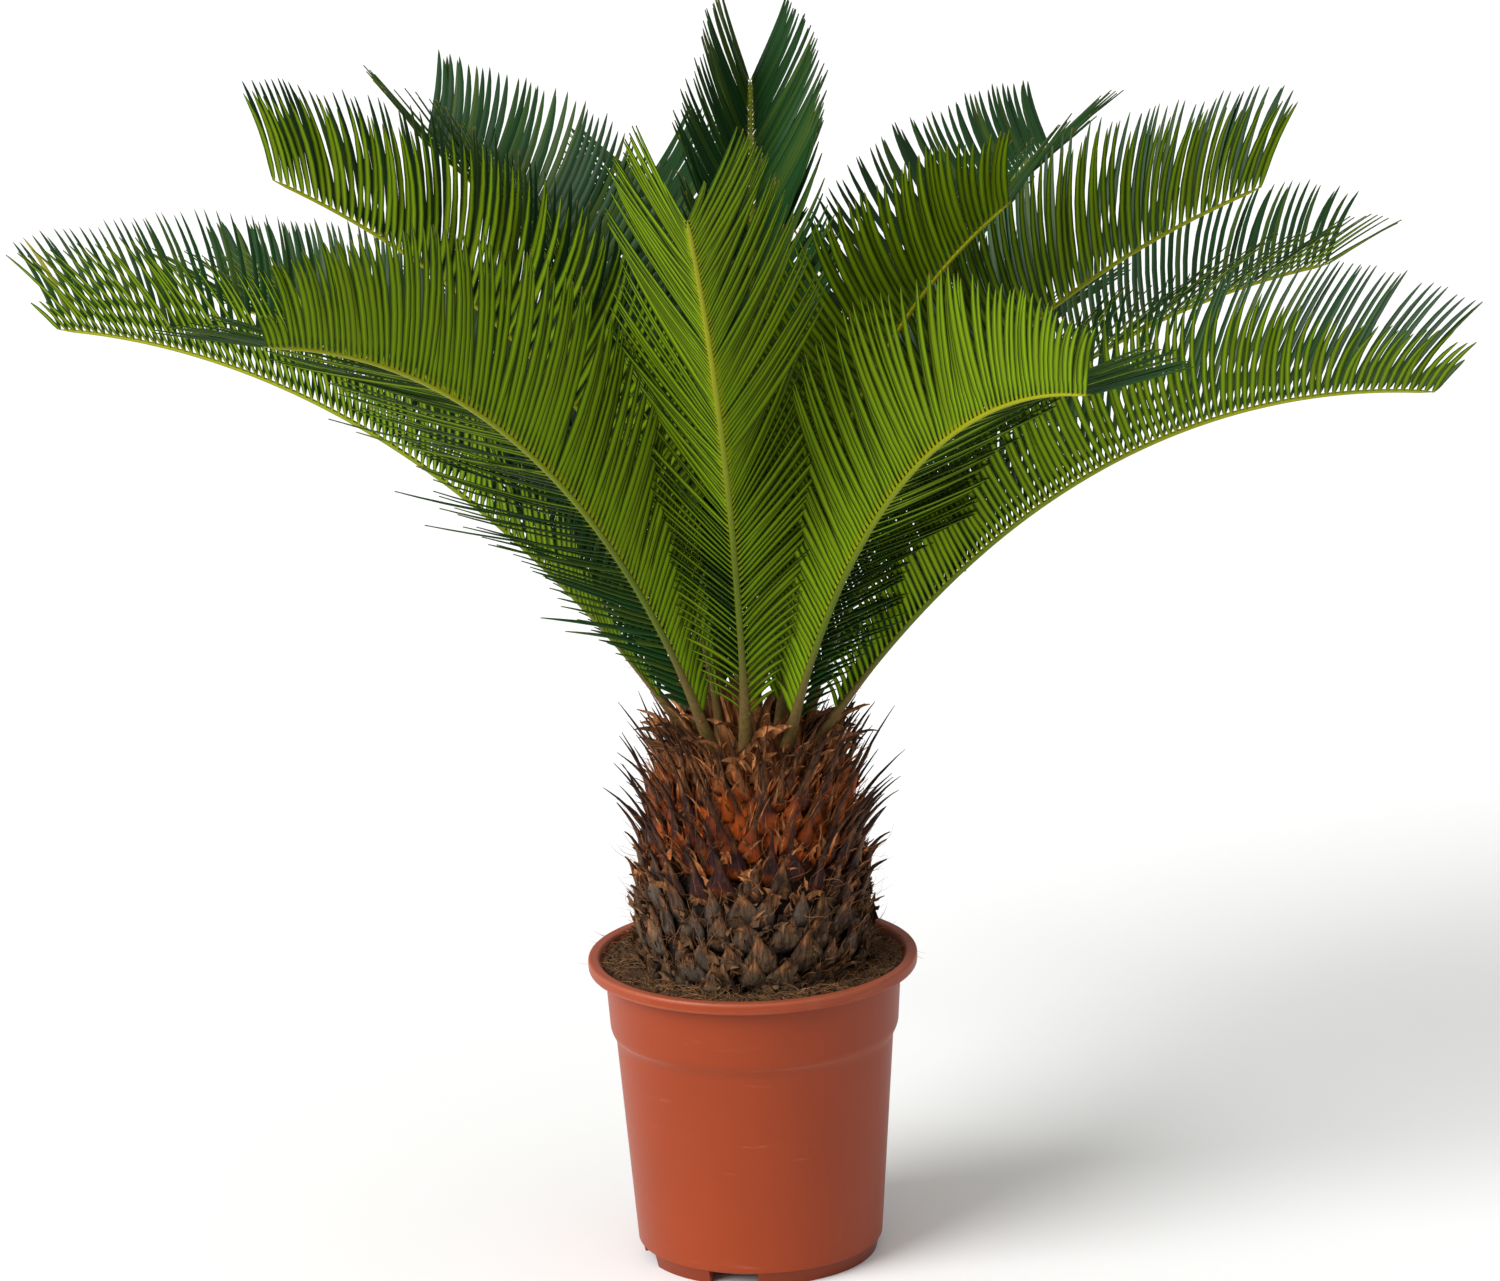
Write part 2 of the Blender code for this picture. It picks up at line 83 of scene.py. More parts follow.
# Fronds: name, azimuth, distance of the foot from the trunk's axis, length, lean from upright at
# the foot and at the tip, how late the bend comes, turn about the midrib at the tip; then for its
# leaflets: lift out of the frond's plane at its foot and further out, how much more of it on the
# positive side, size, how much wider they spread, and width.
FRONDS = (
    ("frond_01", -7.0, 0.0365, 0.516, 9.5, 50.5, 0.52, 0.0, 0.0, 55.0, 8.0, 1.00, 2.0, 1.04),
    ("frond_02", -39.0, 0.0370, 0.550, 27.0, 80.0, 1.26, -8.0, 28.0, 38.0, 46.0, 1.00, -2.0, 1.00),
    ("frond_03", -104.0, 0.0370, 0.503, 38.0, 89.0, 1.35, -4.0, 44.0, 63.0, -13.0, 1.04, 4.0, 0.72),
    ("frond_04", -78.5, 0.0200, 0.490, 1.5, 63.5, 0.77, -4.0, 0.0, 67.0, -9.0, 1.01, -1.0, 0.80),
    ("frond_05", -137.0, 0.0200, 0.468, 15.5, 70.0, 1.20, 10.0, 0.0, 50.0, 14.0, 1.02, 2.0, 1.08),
    ("frond_06", 180.0, 0.0200, 0.490, 12.0, 69.0, 1.20, -5.5, 0.0, 60.0, -3.0, 0.96, 2.0, 1.16),
    ("frond_07", -169.0, 0.0290, 0.461, 22.5, 79.5, 1.20, 8.0, 0.0, 36.0, 4.0, 1.00, 0.5, 1.00),
    ("frond_08", 48.0, 0.0200, 0.432, 4.5, 51.5, 1.20, 6.5, 0.0, 41.0, 6.0, 1.00, -10.0, 1.00),
    ("frond_09", 30.0, 0.0370, 0.478, 22.0, 82.0, 1.30, 6.0, 20.0, 40.0, -34.0, 0.99, -2.0, 1.00),
    ("frond_10", 85.0, 0.0200, 0.490, 2.0, 66.0, 0.75, -3.0, 0.0, 59.0, -9.0, 1.04, 4.0, 0.84),
    ("frond_11", 109.0, 0.0330, 0.486, 6.0, 83.0, 0.70, 4.0, 0.0, 42.0, 14.0, 0.95, 3.0, 0.70),
    ("frond_12", 62.0, 0.0370, 0.521, 34.5, 87.5, 1.45, -13.0, 52.0, 56.0, -6.0, 1.00, 4.0, 0.80),
    ("frond_13", 146.0, 0.0200, 0.490, 19.5, 77.0, 1.20, -8.0, 0.0, 37.0, -12.0, 0.92, 2.0, 0.92),
    ("frond_14", -129.0, 0.0370, 0.480, 44.5, 86.0, 1.45, 5.0, 0.0, 52.0, -4.0, 0.98, -2.0, 0.95),
    ("frond_15", 150.0, 0.0370, 0.440, 38.0, 90.0, 1.15, -5.5, 0.0, 45.0, 5.0, 1.00, -2.0, 0.95),
    ("frond_16", -152.0, 0.0370, 0.425, 42.5, 88.0, 1.25, 0.0, 0.0, 48.0, 0.0, 1.00, -2.0, 0.95),
)

# Midribs: the shares of one below its first leaflet and in its swollen foot, how much shorter the
# leaflets get towards its tip, its sides, and the hairs on its stalk.
BARE_SHARE = 0.07
SWOLLEN_SHARE = 0.16
TIP_FALL = 0.42
MIDRIB_SIDES = 12
STALK_HAIRS = 70

# Leaflets: how they crowd at the frond's foot, the shares of it over which they reach full length
# and lift, how stray ones differ, how far they hook, half a blade's thickness at its edge, pairs of
# share and angle from the midrib, and the stations along a blade with its width at each.
CROWDING = 0.30
FULL_LENGTH_SHARE = 0.42
FULL_LIFT_SHARE = 0.38
STRAY_CHANCE = 0.16
STRAY_LENGTH = 0.30
STRAY_ANGLE = 12.0
TIP_HOOK = 16.0
BLADE_BODY = 0.00024
LEAFLET_ANGLE = ((0.0, 46.0), (0.35, 60.0), (0.5, 60.0), (1.0, 46.0))
LEAFLET_AT = np.array([0.0, 0.05, 0.18, 0.38, 0.58, 0.75, 0.88, 0.96, 1.0])
LEAFLET_TAPER = np.array([0.34, 0.66, 0.97, 1.0, 0.92, 0.76, 0.52, 0.27, 0.05])

# Trunk: old leaf bases in staggered rows up an outline of radius and height, on a core that ends in
# a bud, given as radii and heights above the crown, with flakes and hairs on them.
BASES_ROUND = 22
BASE_ROWS = 12
BASE_AT = np.array([0.0, 0.06, 0.14, 0.23, 0.32, 0.41, 0.50, 0.59, 0.68, 0.77, 0.86, 0.94, 1.0])
CORE_SIDES = 110
RINGS_A_ROW = 5
STUB_RADIUS = 0.0578
BUD = ((0.036, -0.001), (0.022, 0.004), (0.0085, 0.022), (0.002, 0.029))
FLAKES_A_BASE = 5
STRAY_FLAKES = 260
TRUNK_HAIRS = 1900
PAPER = 0.00022
OUTLINE_RADIUS = np.array(
    [0.0655, 0.0690, 0.0690, 0.0675, 0.0655, 0.0630, 0.0602, 0.0570, 0.0532, 0.0488, 0.0440]
)
OUTLINE_HEIGHT = np.array(
    [0.1932, 0.2060, 0.2230, 0.2400, 0.2570, 0.2740, 0.2900, 0.3050, 0.3180, 0.3280, 0.3340]
)

# Pairs of share along a leaf base and its half width, low on the trunk and high up, as a share of
# the room it has, and then its depth in both places.
LOW_WIDTH = (
    (0.0, 0.60), (0.12, 0.92), (0.30, 1.0), (0.42, 0.92), (0.56, 0.60), (0.68, 0.33), (0.80, 0.20),
    (1.0, 0.05),
)
HIGH_WIDTH = (
    (0.0, 0.80), (0.10, 1.0), (0.22, 0.96), (0.36, 0.62), (0.48, 0.33), (0.60, 0.19), (0.80, 0.12),
    (1.0, 0.012),
)
LOW_DEPTH = ((0.0, 0.0012), (0.3, 0.0022), (0.6, 0.0018), (1.0, 0.0005))
HIGH_DEPTH = ((0.0, 0.0012), (0.25, 0.0030), (0.45, 0.0017), (0.7, 0.0010), (1.0, 0.00018))

# Pairs of share along a fibre or a papery blade and its width there.
FIBRE_WIDTH = ((0.0, 1.0), (0.7, 0.8), (1.0, 0.25))
HUSK_WIDTH = ((0.0, 0.75), (0.25, 1.0), (0.5, 0.80), (0.75, 0.45), (1.0, 0.04))

# Rings of husks in the crown: how many, radius, height above the crown, lean, length, width and
# how far they curl outwards.
HUSK_RINGS = (
    (40, 0.0470, -0.009, 22.0, 0.030, 0.0040, 0.50),
    (46, 0.0440, -0.004, 26.0, 0.040, 0.0048, 0.75),
    (40, 0.0400, -0.002, 20.0, 0.048, 0.0052, 0.85),
    (34, 0.0290, 0.000, 12.0, 0.050, 0.0046, 0.55),
    (18, 0.0160, 0.004, 5.0, 0.056, 0.0042, 0.30),
)

# Heights between which the trunk's look changes, from the crust at the soil to the crown.
CRUST_ZONE = (0.216, 0.198)
GLOW_ZONE = (0.244, 0.276)
HOT_ZONE = (0.276, 0.302)
CROWN_ZONE = (0.316, 0.332)

# Pot: corners of its outside and inside, each with how far back its rounding starts.
POT_CORNERS = (
    (0.0768, 0.0089, 0.0004),
    (0.0784, 0.0098, 0.0006),
    (0.0786, 0.0120, 0.0006),
    (0.0885, 0.1445, 0.0022),
    (0.0919, 0.1518, 0.0026),
    (0.0944, 0.1896, 0.0014),
    (0.1036, 0.1904, 0.0010),
    (0.1047, 0.1915, 0.0009),
    (0.1050, 0.1970, 0.0011),
    (0.1041, 0.1983, 0.0009),
    (0.0988, 0.1983, 0.0009),
    (0.0974, 0.1972, 0.0010),
    (0.0930, 0.1885, 0.0014),
    (0.0902, 0.1523, 0.0020),
    (0.0868, 0.1440, 0.0020),
    (0.0770, 0.0150, 0.0030),
    (0.0748, 0.0112, 0.0010),
)
POT_SIDES = 180
RIM_HEIGHT = 0.1983
LIP_HEIGHT = 0.1918
SHOULDER_HEIGHT = 0.1492
FOOT_HEIGHT = 0.0088
FOOT_OUTER = 0.0746
FOOT_INNER = 0.0706
NOTCH_CENTRES = (-74.0, -14.0, 106.0, 166.0)
NOTCH_WIDTH = 24.0

# Soil: corners of its outside below the surface, then the mound's edges and what lies on it.
SOIL_SIDES = 200
SOIL_OUTSIDE = (
    (0.0742, 0.0115),
    (0.0764, 0.0150),
    (0.0862, 0.1440),
    (0.0896, 0.1523),
    (0.0922, 0.1868),
)
SOIL_EDGE = (0.0957, 0.1945)
SOIL_SOCKET = (0.0583, 0.1925)
SOCKET_FLOOR = 0.160
LITTER_INNER = 0.0690
FIBRES_OUTER = 0.0930
CRUMBS_OUTER = 0.0940
CRUMBS = 800

# Camera, found from the rounds of the pot in the photograph.
CAMERA_BACK = 4.0
CAMERA_HEIGHT = 1.505
CAMERA_PITCH = 15.39
CAMERA_YAW = 0.059
CAMERA_ROLL = -1.67
CAMERA_LENS = 158.4

# Lights: name, where it shines from, how wide it spreads and its share of the key's strength.
LIGHTS = (
    ("key", (-0.69, -0.48, 0.53), 42.0, 1.0),
    ("fill", (0.75, -0.90, 0.55), 90.0, 0.05),
    ("overhead", (0.05, -0.10, 1.0), 100.0, 0.30),
)
FLOOR_RADII = (30.0, 6.0, 1.0)
FLOOR_SIDES = 64


def colour_setting(name, description, default):
    """A colour that the user can pick."""
    return FloatVectorProperty(
        name=name, description=description, subtype="COLOR", size=3, min=0.0, max=1.0, default=default
    )


def length_setting(name, description, default, low, high):
    """A length, kept between a low one and a high one."""
    return FloatProperty(
        name=name,
        description=description,
        subtype="DISTANCE",
        unit="LENGTH",
        min=low,
        max=high,
        default=default,
    )


class PotSettings(bpy.types.PropertyGroup):
    colour: colour_setting("Pot colour", "Colour of the moulded plastic", (0.270, 0.036, 0.005))
    # The scuff colour also paints the sheen on the rim's top.
    scuff_and_sheen: colour_setting(
        "Scuff colour", "Paler colour of worn edges and moulding lines", (0.42, 0.13, 0.075)
    )
    roughness: FloatProperty(
        name="Roughness",
        description="How matt the plastic is",
        subtype="FACTOR",
        min=0.0,
        max=1.0,
        default=0.42,
    )


class SoilSettings(bpy.types.PropertyGroup):
    colour: colour_setting("Peat colour", "Colour of the damp peat", (0.082, 0.040, 0.018))
    relief: length_setting("Relief", "Height of the lumps in the surface", 0.0016, 0.0, 0.004)
    fibres: IntProperty(
        name="Fibres",
        description="Number of loose fibres on the surface",
        min=0,
        max=2000,
        default=1150,
    )


class TrunkSettings(bpy.types.PropertyGroup):
    slate: colour_setting(
        "Old base colour", "The weathered leaf bases low on the trunk", (0.092, 0.070, 0.055)
    )
    plum: colour_setting(
        "Young base colour", "Smooth faces of the upper leaf bases", (0.046, 0.014, 0.014)
    )
    glow: colour_setting(
        "Glow colour", "Orange of the upper leaf bases at their feet", (0.60, 0.105, 0.008)
    )
    husk: colour_setting(
        "Husk colour", "Tan of the papery husks and torn tips", (0.30, 0.118, 0.040)
    )
    spine_length: length_setting(
        "Spine length", "Spines that the upper leaf bases end in", 0.0320, 0.010, 0.050
    )


class FrondSettings(bpy.types.PropertyGroup):
    pitch: length_setting(
        "Leaflet pitch", "From leaflet to leaflet along one side of a midrib", 0.0049, 0.004, 0.030
    )
    width: length_setting("Leaflet width", "Widest part of a leaflet", 0.0057, 0.002, 0.010)
    length: length_setting(
        "Longest leaflet", "Leaflets at the middle of a frond", 0.112, 0.050, 0.150
    )
    upper: colour_setting("Upper face", "Upper face of a leaflet", (0.011, 0.043, 0.010))
    under: colour_setting("Lower face", "Lower face of a leaflet", (0.108, 0.184, 0.001))
    midrib: colour_setting("Midrib", "Golden colour of the upper midrib", (0.27, 0.29, 0.003))


class StageSettings(bpy.types.PropertyGroup):
    floor: colour_setting("Floor colour", "Colour of the plain floor", (0.86, 0.86, 0.855))
    key: FloatProperty(
        name="Key light",
        description="Strength of the soft light from the front left",
        min=0.0,
        default=3.8,
    )
    surround: FloatProperty(
        name="Surround",
        description="Brightness of the white surroundings",
        min=0.0,
        max=2.0,
        default=0.27,
    )


def arithmetic(operation, swapped=False):
    """A method that works out this operation on a value and another value or number."""

    def method(self, other):
        first, second = (other, self) if swapped else (self, other)
        return self.graph.node("ShaderNodeMath", {"operation": operation}, {0: first, 1: second})

    return method


class Value:
    """A value that varies over a surface. Arithmetic on it adds Math nodes."""

    def __init__(self, graph, socket):
        self.graph = graph
        self.socket = socket

    __add__ = __radd__ = arithmetic("ADD")
    __mul__ = __rmul__ = arithmetic("MULTIPLY")
    __sub__ = arithmetic("SUBTRACT")
    __rsub__ = arithmetic("SUBTRACT", swapped=True)

    def __abs__(self):
        return self.graph.node("ShaderNodeMath", {"operation": "ABSOLUTE"}, {0: self})

    def ramp(self, low, high):
        """0 below low, 1 above high and smooth between them; low may be the greater."""
        settings = {"interpolation_type": "SMOOTHSTEP", "clamp": True}
        inputs = {"Value": self, "From Min": min(low, high), "From Max": max(low, high)}
        if low > high:
            inputs.update({"To Min": 1.0, "To Max": 0.0})
        return self.graph.node("ShaderNodeMapRange", settings, inputs)


class Graph:
    """The node tree of one material, around its Principled shader."""

    def __init__(self, name, **constants):
        self.material = bpy.data.materials.new(name)
        self.material.use_nodes = True
        self.tree = self.material.node_tree
        self.shader = self.tree.nodes["Principled BSDF"]
        for socket, value in constants.items():
            self.shader.inputs[socket.replace("_", " ")].default_value = value

    def node(self, kind, settings=None, inputs=None, output=0):
        """Adds a node, sets it up, feeds its sockets and gives the named output as a Value."""
        made = self.tree.nodes.new(kind)
        for key, value in (settings or {}).items():
            setattr(made, key, value)
        for key, value in (inputs or {}).items():
            self.feed(made.inputs[key], value)
        return Value(self, made.outputs[output])

    def feed(self, socket, value):
        if isinstance(value, Value):
            self.tree.links.new(value.socket, socket)
        elif socket.type == "RGBA" and len(value) == 3:
            socket.default_value = (*value, 1.0)
        else:
            socket.default_value = value

    def place(self, scale=(1.0, 1.0, 1.0)):
        """Object coordinates about the pot's axis, stretched."""
        where = self.node("ShaderNodeTexCoord", output="Object")
        centred = self.node("ShaderNodeMapping", None, {"Vector": where, "Location": tuple(-AXIS)})
        return self.node("ShaderNodeMapping", None, {"Vector": centred, "Scale": scale})

    def height(self):
        where = self.node("ShaderNodeTexCoord", output="Object")
        return self.node("ShaderNodeSeparateXYZ", None, {"Vector": where}, "Z")

    def attribute(self, name):
        return self.node("ShaderNodeAttribute", {"attribute_name": name}, output="Fac")

    def noise(self, scale, detail=3.0, rough=0.55, where=None, turned=0.0):
        inputs = {
            "Vector": where or self.place(),
            "Scale": scale,
            "Detail": detail,
            "Roughness": rough,
            "Distortion": turned,
        }
        return self.node("ShaderNodeTexNoise", None, inputs, "Fac")

    def mix(self, first, second, share):
        settings = {"data_type": "RGBA", "clamp_factor": True}
        return self.node("ShaderNodeMix", settings, {0: share, 6: first, 7: second}, 2)

    def tones(self, colour, dark, light, share):
        """One colour from a darker to a lighter tone of it."""
        return self.mix(shade(colour, dark), shade(colour, light), share)

    def finish(self, colour, roughness, height=None, depth=0.001, strength=1.0):
        """Feeds the shader, with the height as a bump where there is one."""
        self.feed(self.shader.inputs["Base Color"], colour)
        self.feed(self.shader.inputs["Roughness"], roughness)
        if height is not None:
            inputs = {"Height": height, "Distance": depth, "Strength": strength}
            bump = self.node("ShaderNodeBump", None, inputs, "Normal")
            self.feed(self.shader.inputs["Normal"], bump)
        return self.material


def shade(colour, factor):
    return tuple(min(1.0, c * factor) for c in colour)


def plastic(settings):
    """Terracotta plastic: faint clouding, fine scuffs, paler moulding lines at the shoulder, painted
    sheen on the rim's top and painted shade on the foot.
    """
    graph = Graph("terracotta_plastic", Specular_IOR_Level=0.28)
    cloud = graph.noise(9.0, 4.0)
    grain = graph.noise(700.0, 2.0)
    brushed = graph.noise(26.0, 5.0, 0.65, graph.place(scale=(1.0, 1.0, 0.06)))
    scratch = graph.noise(60.0, 6.0, 0.7, graph.place(scale=(0.25, 0.25, 2.2)), 0.6)
    z = graph.height()
    shoulder = abs(z - SHOULDER_HEIGHT).ramp(0.0016, 0.0004)
    lip = abs(z - LIP_HEIGHT).ramp(0.0014, 0.0003)
    worn = (shoulder * 0.5 + lip * 0.30) * cloud.ramp(0.35, 0.62)
    scuffs = scratch.ramp(0.61, 0.72) * 0.34 + brushed.ramp(0.58, 0.76) * 0.15
    colour = graph.tones(settings.colour, 0.80, 1.16, cloud)
    colour = graph.mix(colour, settings.scuff_and_sheen, worn + scuffs)
    # Painted sheen: the rim's top made paler with the scuff colour, as if it caught the light from
    # above.
    rim_sheen = z.ramp(RIM_HEIGHT - 0.0028, RIM_HEIGHT - 0.0007) * 0.40
    nicked = z.ramp(LIP_HEIGHT - 0.0013, LIP_HEIGHT + 0.0007) * scratch.ramp(0.45, 0.70) * 0.16
    colour = graph.mix(colour, settings.scuff_and_sheen, rim_sheen + nicked)
    # Painted shade: the foot ring, tucked in below the crease, is darkened.
    foot = z.ramp(FOOT_HEIGHT + 0.0017, FOOT_HEIGHT - 0.0008)
    colour = graph.mix(colour, shade(settings.colour, 0.62), foot * 0.8)
    roughness = settings.roughness + (cloud - 0.5) * 0.10 + scuffs * 0.5
    height = grain * 0.35 + brushed * 0.9 + scratch.ramp(0.6, 0.75) * 0.4
    return graph.finish(colour, roughness, height, 0.00022, 0.55)


def peat(settings):
    """Damp peat: dark crumbs, paler dusty tops, a few tan specks."""
    graph = Graph("peat", Specular_IOR_Level=0.25)
    crumbs = graph.noise(420.0, 4.0, 0.7)
    clumps = graph.noise(60.0, 4.0, 0.6)
    specks = graph.noise(900.0, 1.0)
    colour = graph.tones(settings.colour, 0.30, 1.35, crumbs)
    colour = graph.mix(colour, shade(settings.colour, 2.1), clumps.ramp(0.52, 0.70) * 0.55)
    colour = graph.mix(colour, (0.26, 0.15, 0.07), specks.ramp(0.70, 0.76) * 0.8)
    return graph.finish(colour, 0.92 - crumbs * 0.1, crumbs + clumps * 0.6, 0.0016, 0.8)


def straw(name, light, dark):
    """Dry fibre: tan with browner lengths and a dull surface."""
    graph = Graph(name, Specular_IOR_Level=0.25)
    spot = graph.attribute("spot")
    streak = graph.noise(160.0, 3.0)
    colour = graph.mix(dark, light, spot * 0.7 + streak.ramp(0.35, 0.7) * 0.4)
    return graph.finish(colour, 0.75 + streak * 0.2)


def old_bases(settings):
    """Leaf bases: slate faces low down, plum faces with glowing feet higher, tan torn necks, and
    painted shade where their feet tuck under and their sides meet.
    """
    graph = Graph("leaf_bases", Specular_IOR_Level=0.20)
    z = graph.height()
    along = graph.attribute("along")
    across = graph.attribute("across")
    spot = graph.attribute("spot")
    young = graph.attribute("young").ramp(0.25, 0.75)
    side = abs(across)
    lengthwise = {"X": across * 5.5, "Y": spot * 61.0, "Z": along * 1.1}
    lines = graph.noise(1.0, 3.0, 0.7, graph.node("ShaderNodeCombineXYZ", None, lengthwise))
    blotch = graph.noise(75.0, 4.0, 0.65)
    patch = graph.noise(30.0, 3.0, 0.6)
    fibre = graph.noise(260.0, 5.0, 0.7, graph.place(scale=(1.0, 1.0, 0.16)), 0.3)
    slate = graph.tones(settings.slate, 0.35, 1.25, lines.ramp(0.30, 0.72))
    brown = graph.mix((0.018, 0.010, 0.006), (0.170, 0.100, 0.052), fibre.ramp(0.34, 0.70))
    bare = (spot - along * 0.55).ramp(0.22, 0.46) * blotch.ramp(0.60, 0.48)
    weathered = graph.mix(brown, slate, bare)
    face = graph.tones(settings.plum, 0.30, 1.7, lines.ramp(0.35, 0.80))
    hot = (z + (patch - 0.5) * 0.05).ramp(*HOT_ZONE)
    warm = (along - hot * 0.30).ramp(0.32, 0.10) * patch.ramp(0.62, 0.44) * z.ramp(*GLOW_ZONE)
    face = graph.mix(face, graph.mix(shade(settings.glow, 0.35), settings.glow, blotch), warm)
    face = graph.mix(face, shade(settings.husk, 0.60), fibre.ramp(0.52, 0.68) * 0.75)
    colour = graph.mix(weathered, face, young)
    tan = graph.tones(settings.husk, 0.25, 1.35, fibre.ramp(0.36, 0.66))
    crown = (z + (patch - 0.5) * 0.030).ramp(*CROWN_ZONE)
    colour = graph.mix(colour, tan, crown * 0.8)
    neck = along.ramp(0.46, 0.66) * blotch.ramp(0.30, 0.55)
    colour = graph.mix(colour, tan, neck * (1.0 - young * 0.45) * 0.8)
    colour = graph.mix(colour, (0.022, 0.011, 0.008), along.ramp(0.60, 0.90) * young * 0.85)
    # Painted shade: each base's foot, tucked in behind the base below, turns near black.
    colour = graph.mix(colour, (0.008, 0.004, 0.003), along.ramp(0.20, 0.04) * (1.0 - warm))
    # Painted shade: the sides of each base, where it meets its neighbours, darken.
    colour = graph.mix(colour, (0.010, 0.005, 0.004), side.ramp(0.72, 1.0) * (1.0 - warm) * 0.75)
    crust = z.ramp(*CRUST_ZONE) * fibre.ramp(0.40, 0.60)
    colour = graph.mix(colour, (0.110, 0.088, 0.050), crust * 0.6)
    roughness = 0.74 - young * 0.24 - bare * 0.18 + blotch * 0.08
    return graph.finish(colour, roughness, lines * 0.7 + fibre + blotch * 0.5, 0.0020, 1.0)


def bark(settings):
    """What shows between the leaf bases: nearly black low down, which is painted shade in the gaps,
    glowing orange under the crown.
    """
    graph = Graph("trunk_core", Specular_IOR_Level=0.25)
    z = graph.height()
    clump = graph.noise(70.0, 4.0, 0.65)
    fibre = graph.noise(300.0, 4.0, 0.7, graph.place(scale=(1.0, 1.0, 0.2)))
    lift = z + (clump - 0.5) * 0.05
    hot = lift.ramp(0.262, 0.290)
    # Painted shade: low down the core is near black, standing in for the shade in the gaps between
    # the leaf bases.
    dark = graph.mix((0.006, 0.003, 0.002), (0.040, 0.020, 0.010), fibre.ramp(0.40, 0.75))
    warm = graph.mix(shade(settings.glow, 0.15), settings.glow, clump.ramp(0.40, 0.66))
    colour = graph.mix(dark, warm, hot)
    top = graph.mix(shade(settings.husk, 0.25), settings.husk, fibre.ramp(0.35, 0.65))
    colour = graph.mix(colour, top, lift.ramp(0.326, 0.338))
    return graph.finish(colour, 0.9, fibre + clump, 0.002, 0.9)


def husks(settings):
    """Papery husks: dark to tan from one to the next, with long veins and browner edges."""
    graph = Graph("husks", Specular_IOR_Level=0.2)
    z = graph.height()
    along = graph.attribute("along")
    across = graph.attribute("across")
    spot = graph.attribute("spot")
    vein = graph.noise(280.0, 4.0, 0.7, graph.place(scale=(1.0, 1.0, 0.14)), 0.2)
    blotch = graph.noise(60.0, 3.0)
    dark = graph.tones(settings.husk, 0.08, 0.50, vein.ramp(0.3, 0.7))
    light = graph.tones(settings.husk, 0.55, 2.30, vein.ramp(0.3, 0.7))
    pale = spot + (blotch - 0.5) * 0.8 + z.ramp(0.298, 0.325) * 0.25
    colour = graph.mix(dark, light, pale.ramp(0.30, 0.85))
    old = graph.mix((0.018, 0.011, 0.007), (0.185, 0.118, 0.062), vein.ramp(0.32, 0.72) * pale)
    colour = graph.mix(colour, old, z.ramp(0.268, 0.240) * 0.85)
    colour = graph.mix(colour, shade(settings.husk, 0.22), across.ramp(0.7, 1.0) * 0.45)
    colour = graph.mix(colour, (0.040, 0.018, 0.010), along.ramp(0.70, 1.0) * spot.ramp(0.8, 0.2))
    warm = along.ramp(0.75, 0.1) * z.ramp(0.262, 0.285) * z.ramp(0.345, 0.322)
    colour = graph.mix(colour, shade(settings.glow, 0.7), warm * blotch.ramp(0.42, 0.60) * 0.9)
    return graph.finish(colour, 0.72 + vein * 0.15, vein, 0.0007, 0.8)


def leaflet_look(settings):
    """Leaflets: deep glossy green above, light yellow-green below with a pale centre line brightened
    as a painted highlight, and margins darkened as painted shade.
    """
    graph = Graph("leaflets", Specular_IOR_Level=0.10)
    under = graph.attribute("under").ramp(0.35, 0.65)
    along = graph.attribute("along")
    across = graph.attribute("across")
    spot = graph.attribute("spot")
    cloud = graph.noise(14.0, 3.0)
    upper = graph.tones(settings.upper, 0.60, 1.45, cloud * 0.5 + spot * 0.5)
    upper = graph.mix(upper, shade(settings.upper, 0.55), across.ramp(0.22, 0.05) * 0.6)
    upper = graph.mix(upper, shade(settings.upper, 2.0), across.ramp(0.80, 1.0) * 0.35)
    tone = cloud * 0.5 + spot * 0.5
    lower = graph.tones(settings.under, 0.48, 1.46, tone)
    # Pale centre line: the midvein, made brighter still as a painted highlight.
    lower = graph.mix(lower, shade(settings.under, 1.75), across.ramp(0.40, 0.08) * 0.85)
    # Painted shade: the margins below darkened to near black, for the shade in the gaps between
    # leaflets.
    lower = graph.mix(lower, shade(settings.under, 0.16), across.ramp(0.48, 0.90) * 0.97)
    colour = graph.mix(upper, lower, under)
    colour = graph.mix(colour, (0.085, 0.110, 0.002), spot.ramp(0.55, 1.0) * 0.30)
    colour = graph.mix(colour, settings.midrib, along.ramp(0.055, 0.0) * 0.75)
    colour = graph.mix(colour, (0.20, 0.12, 0.03), along.ramp(0.965, 1.0) * spot.ramp(0.5, 0.8))
    faded = spot.ramp(0.9992, 0.9994) * along.ramp(0.15, 0.55)
    colour = graph.mix(colour, (0.26, 0.23, 0.02), faded * 0.8)
    roughness = 0.30 + under * 0.42 + cloud * 0.08
    return graph.finish(colour, roughness)


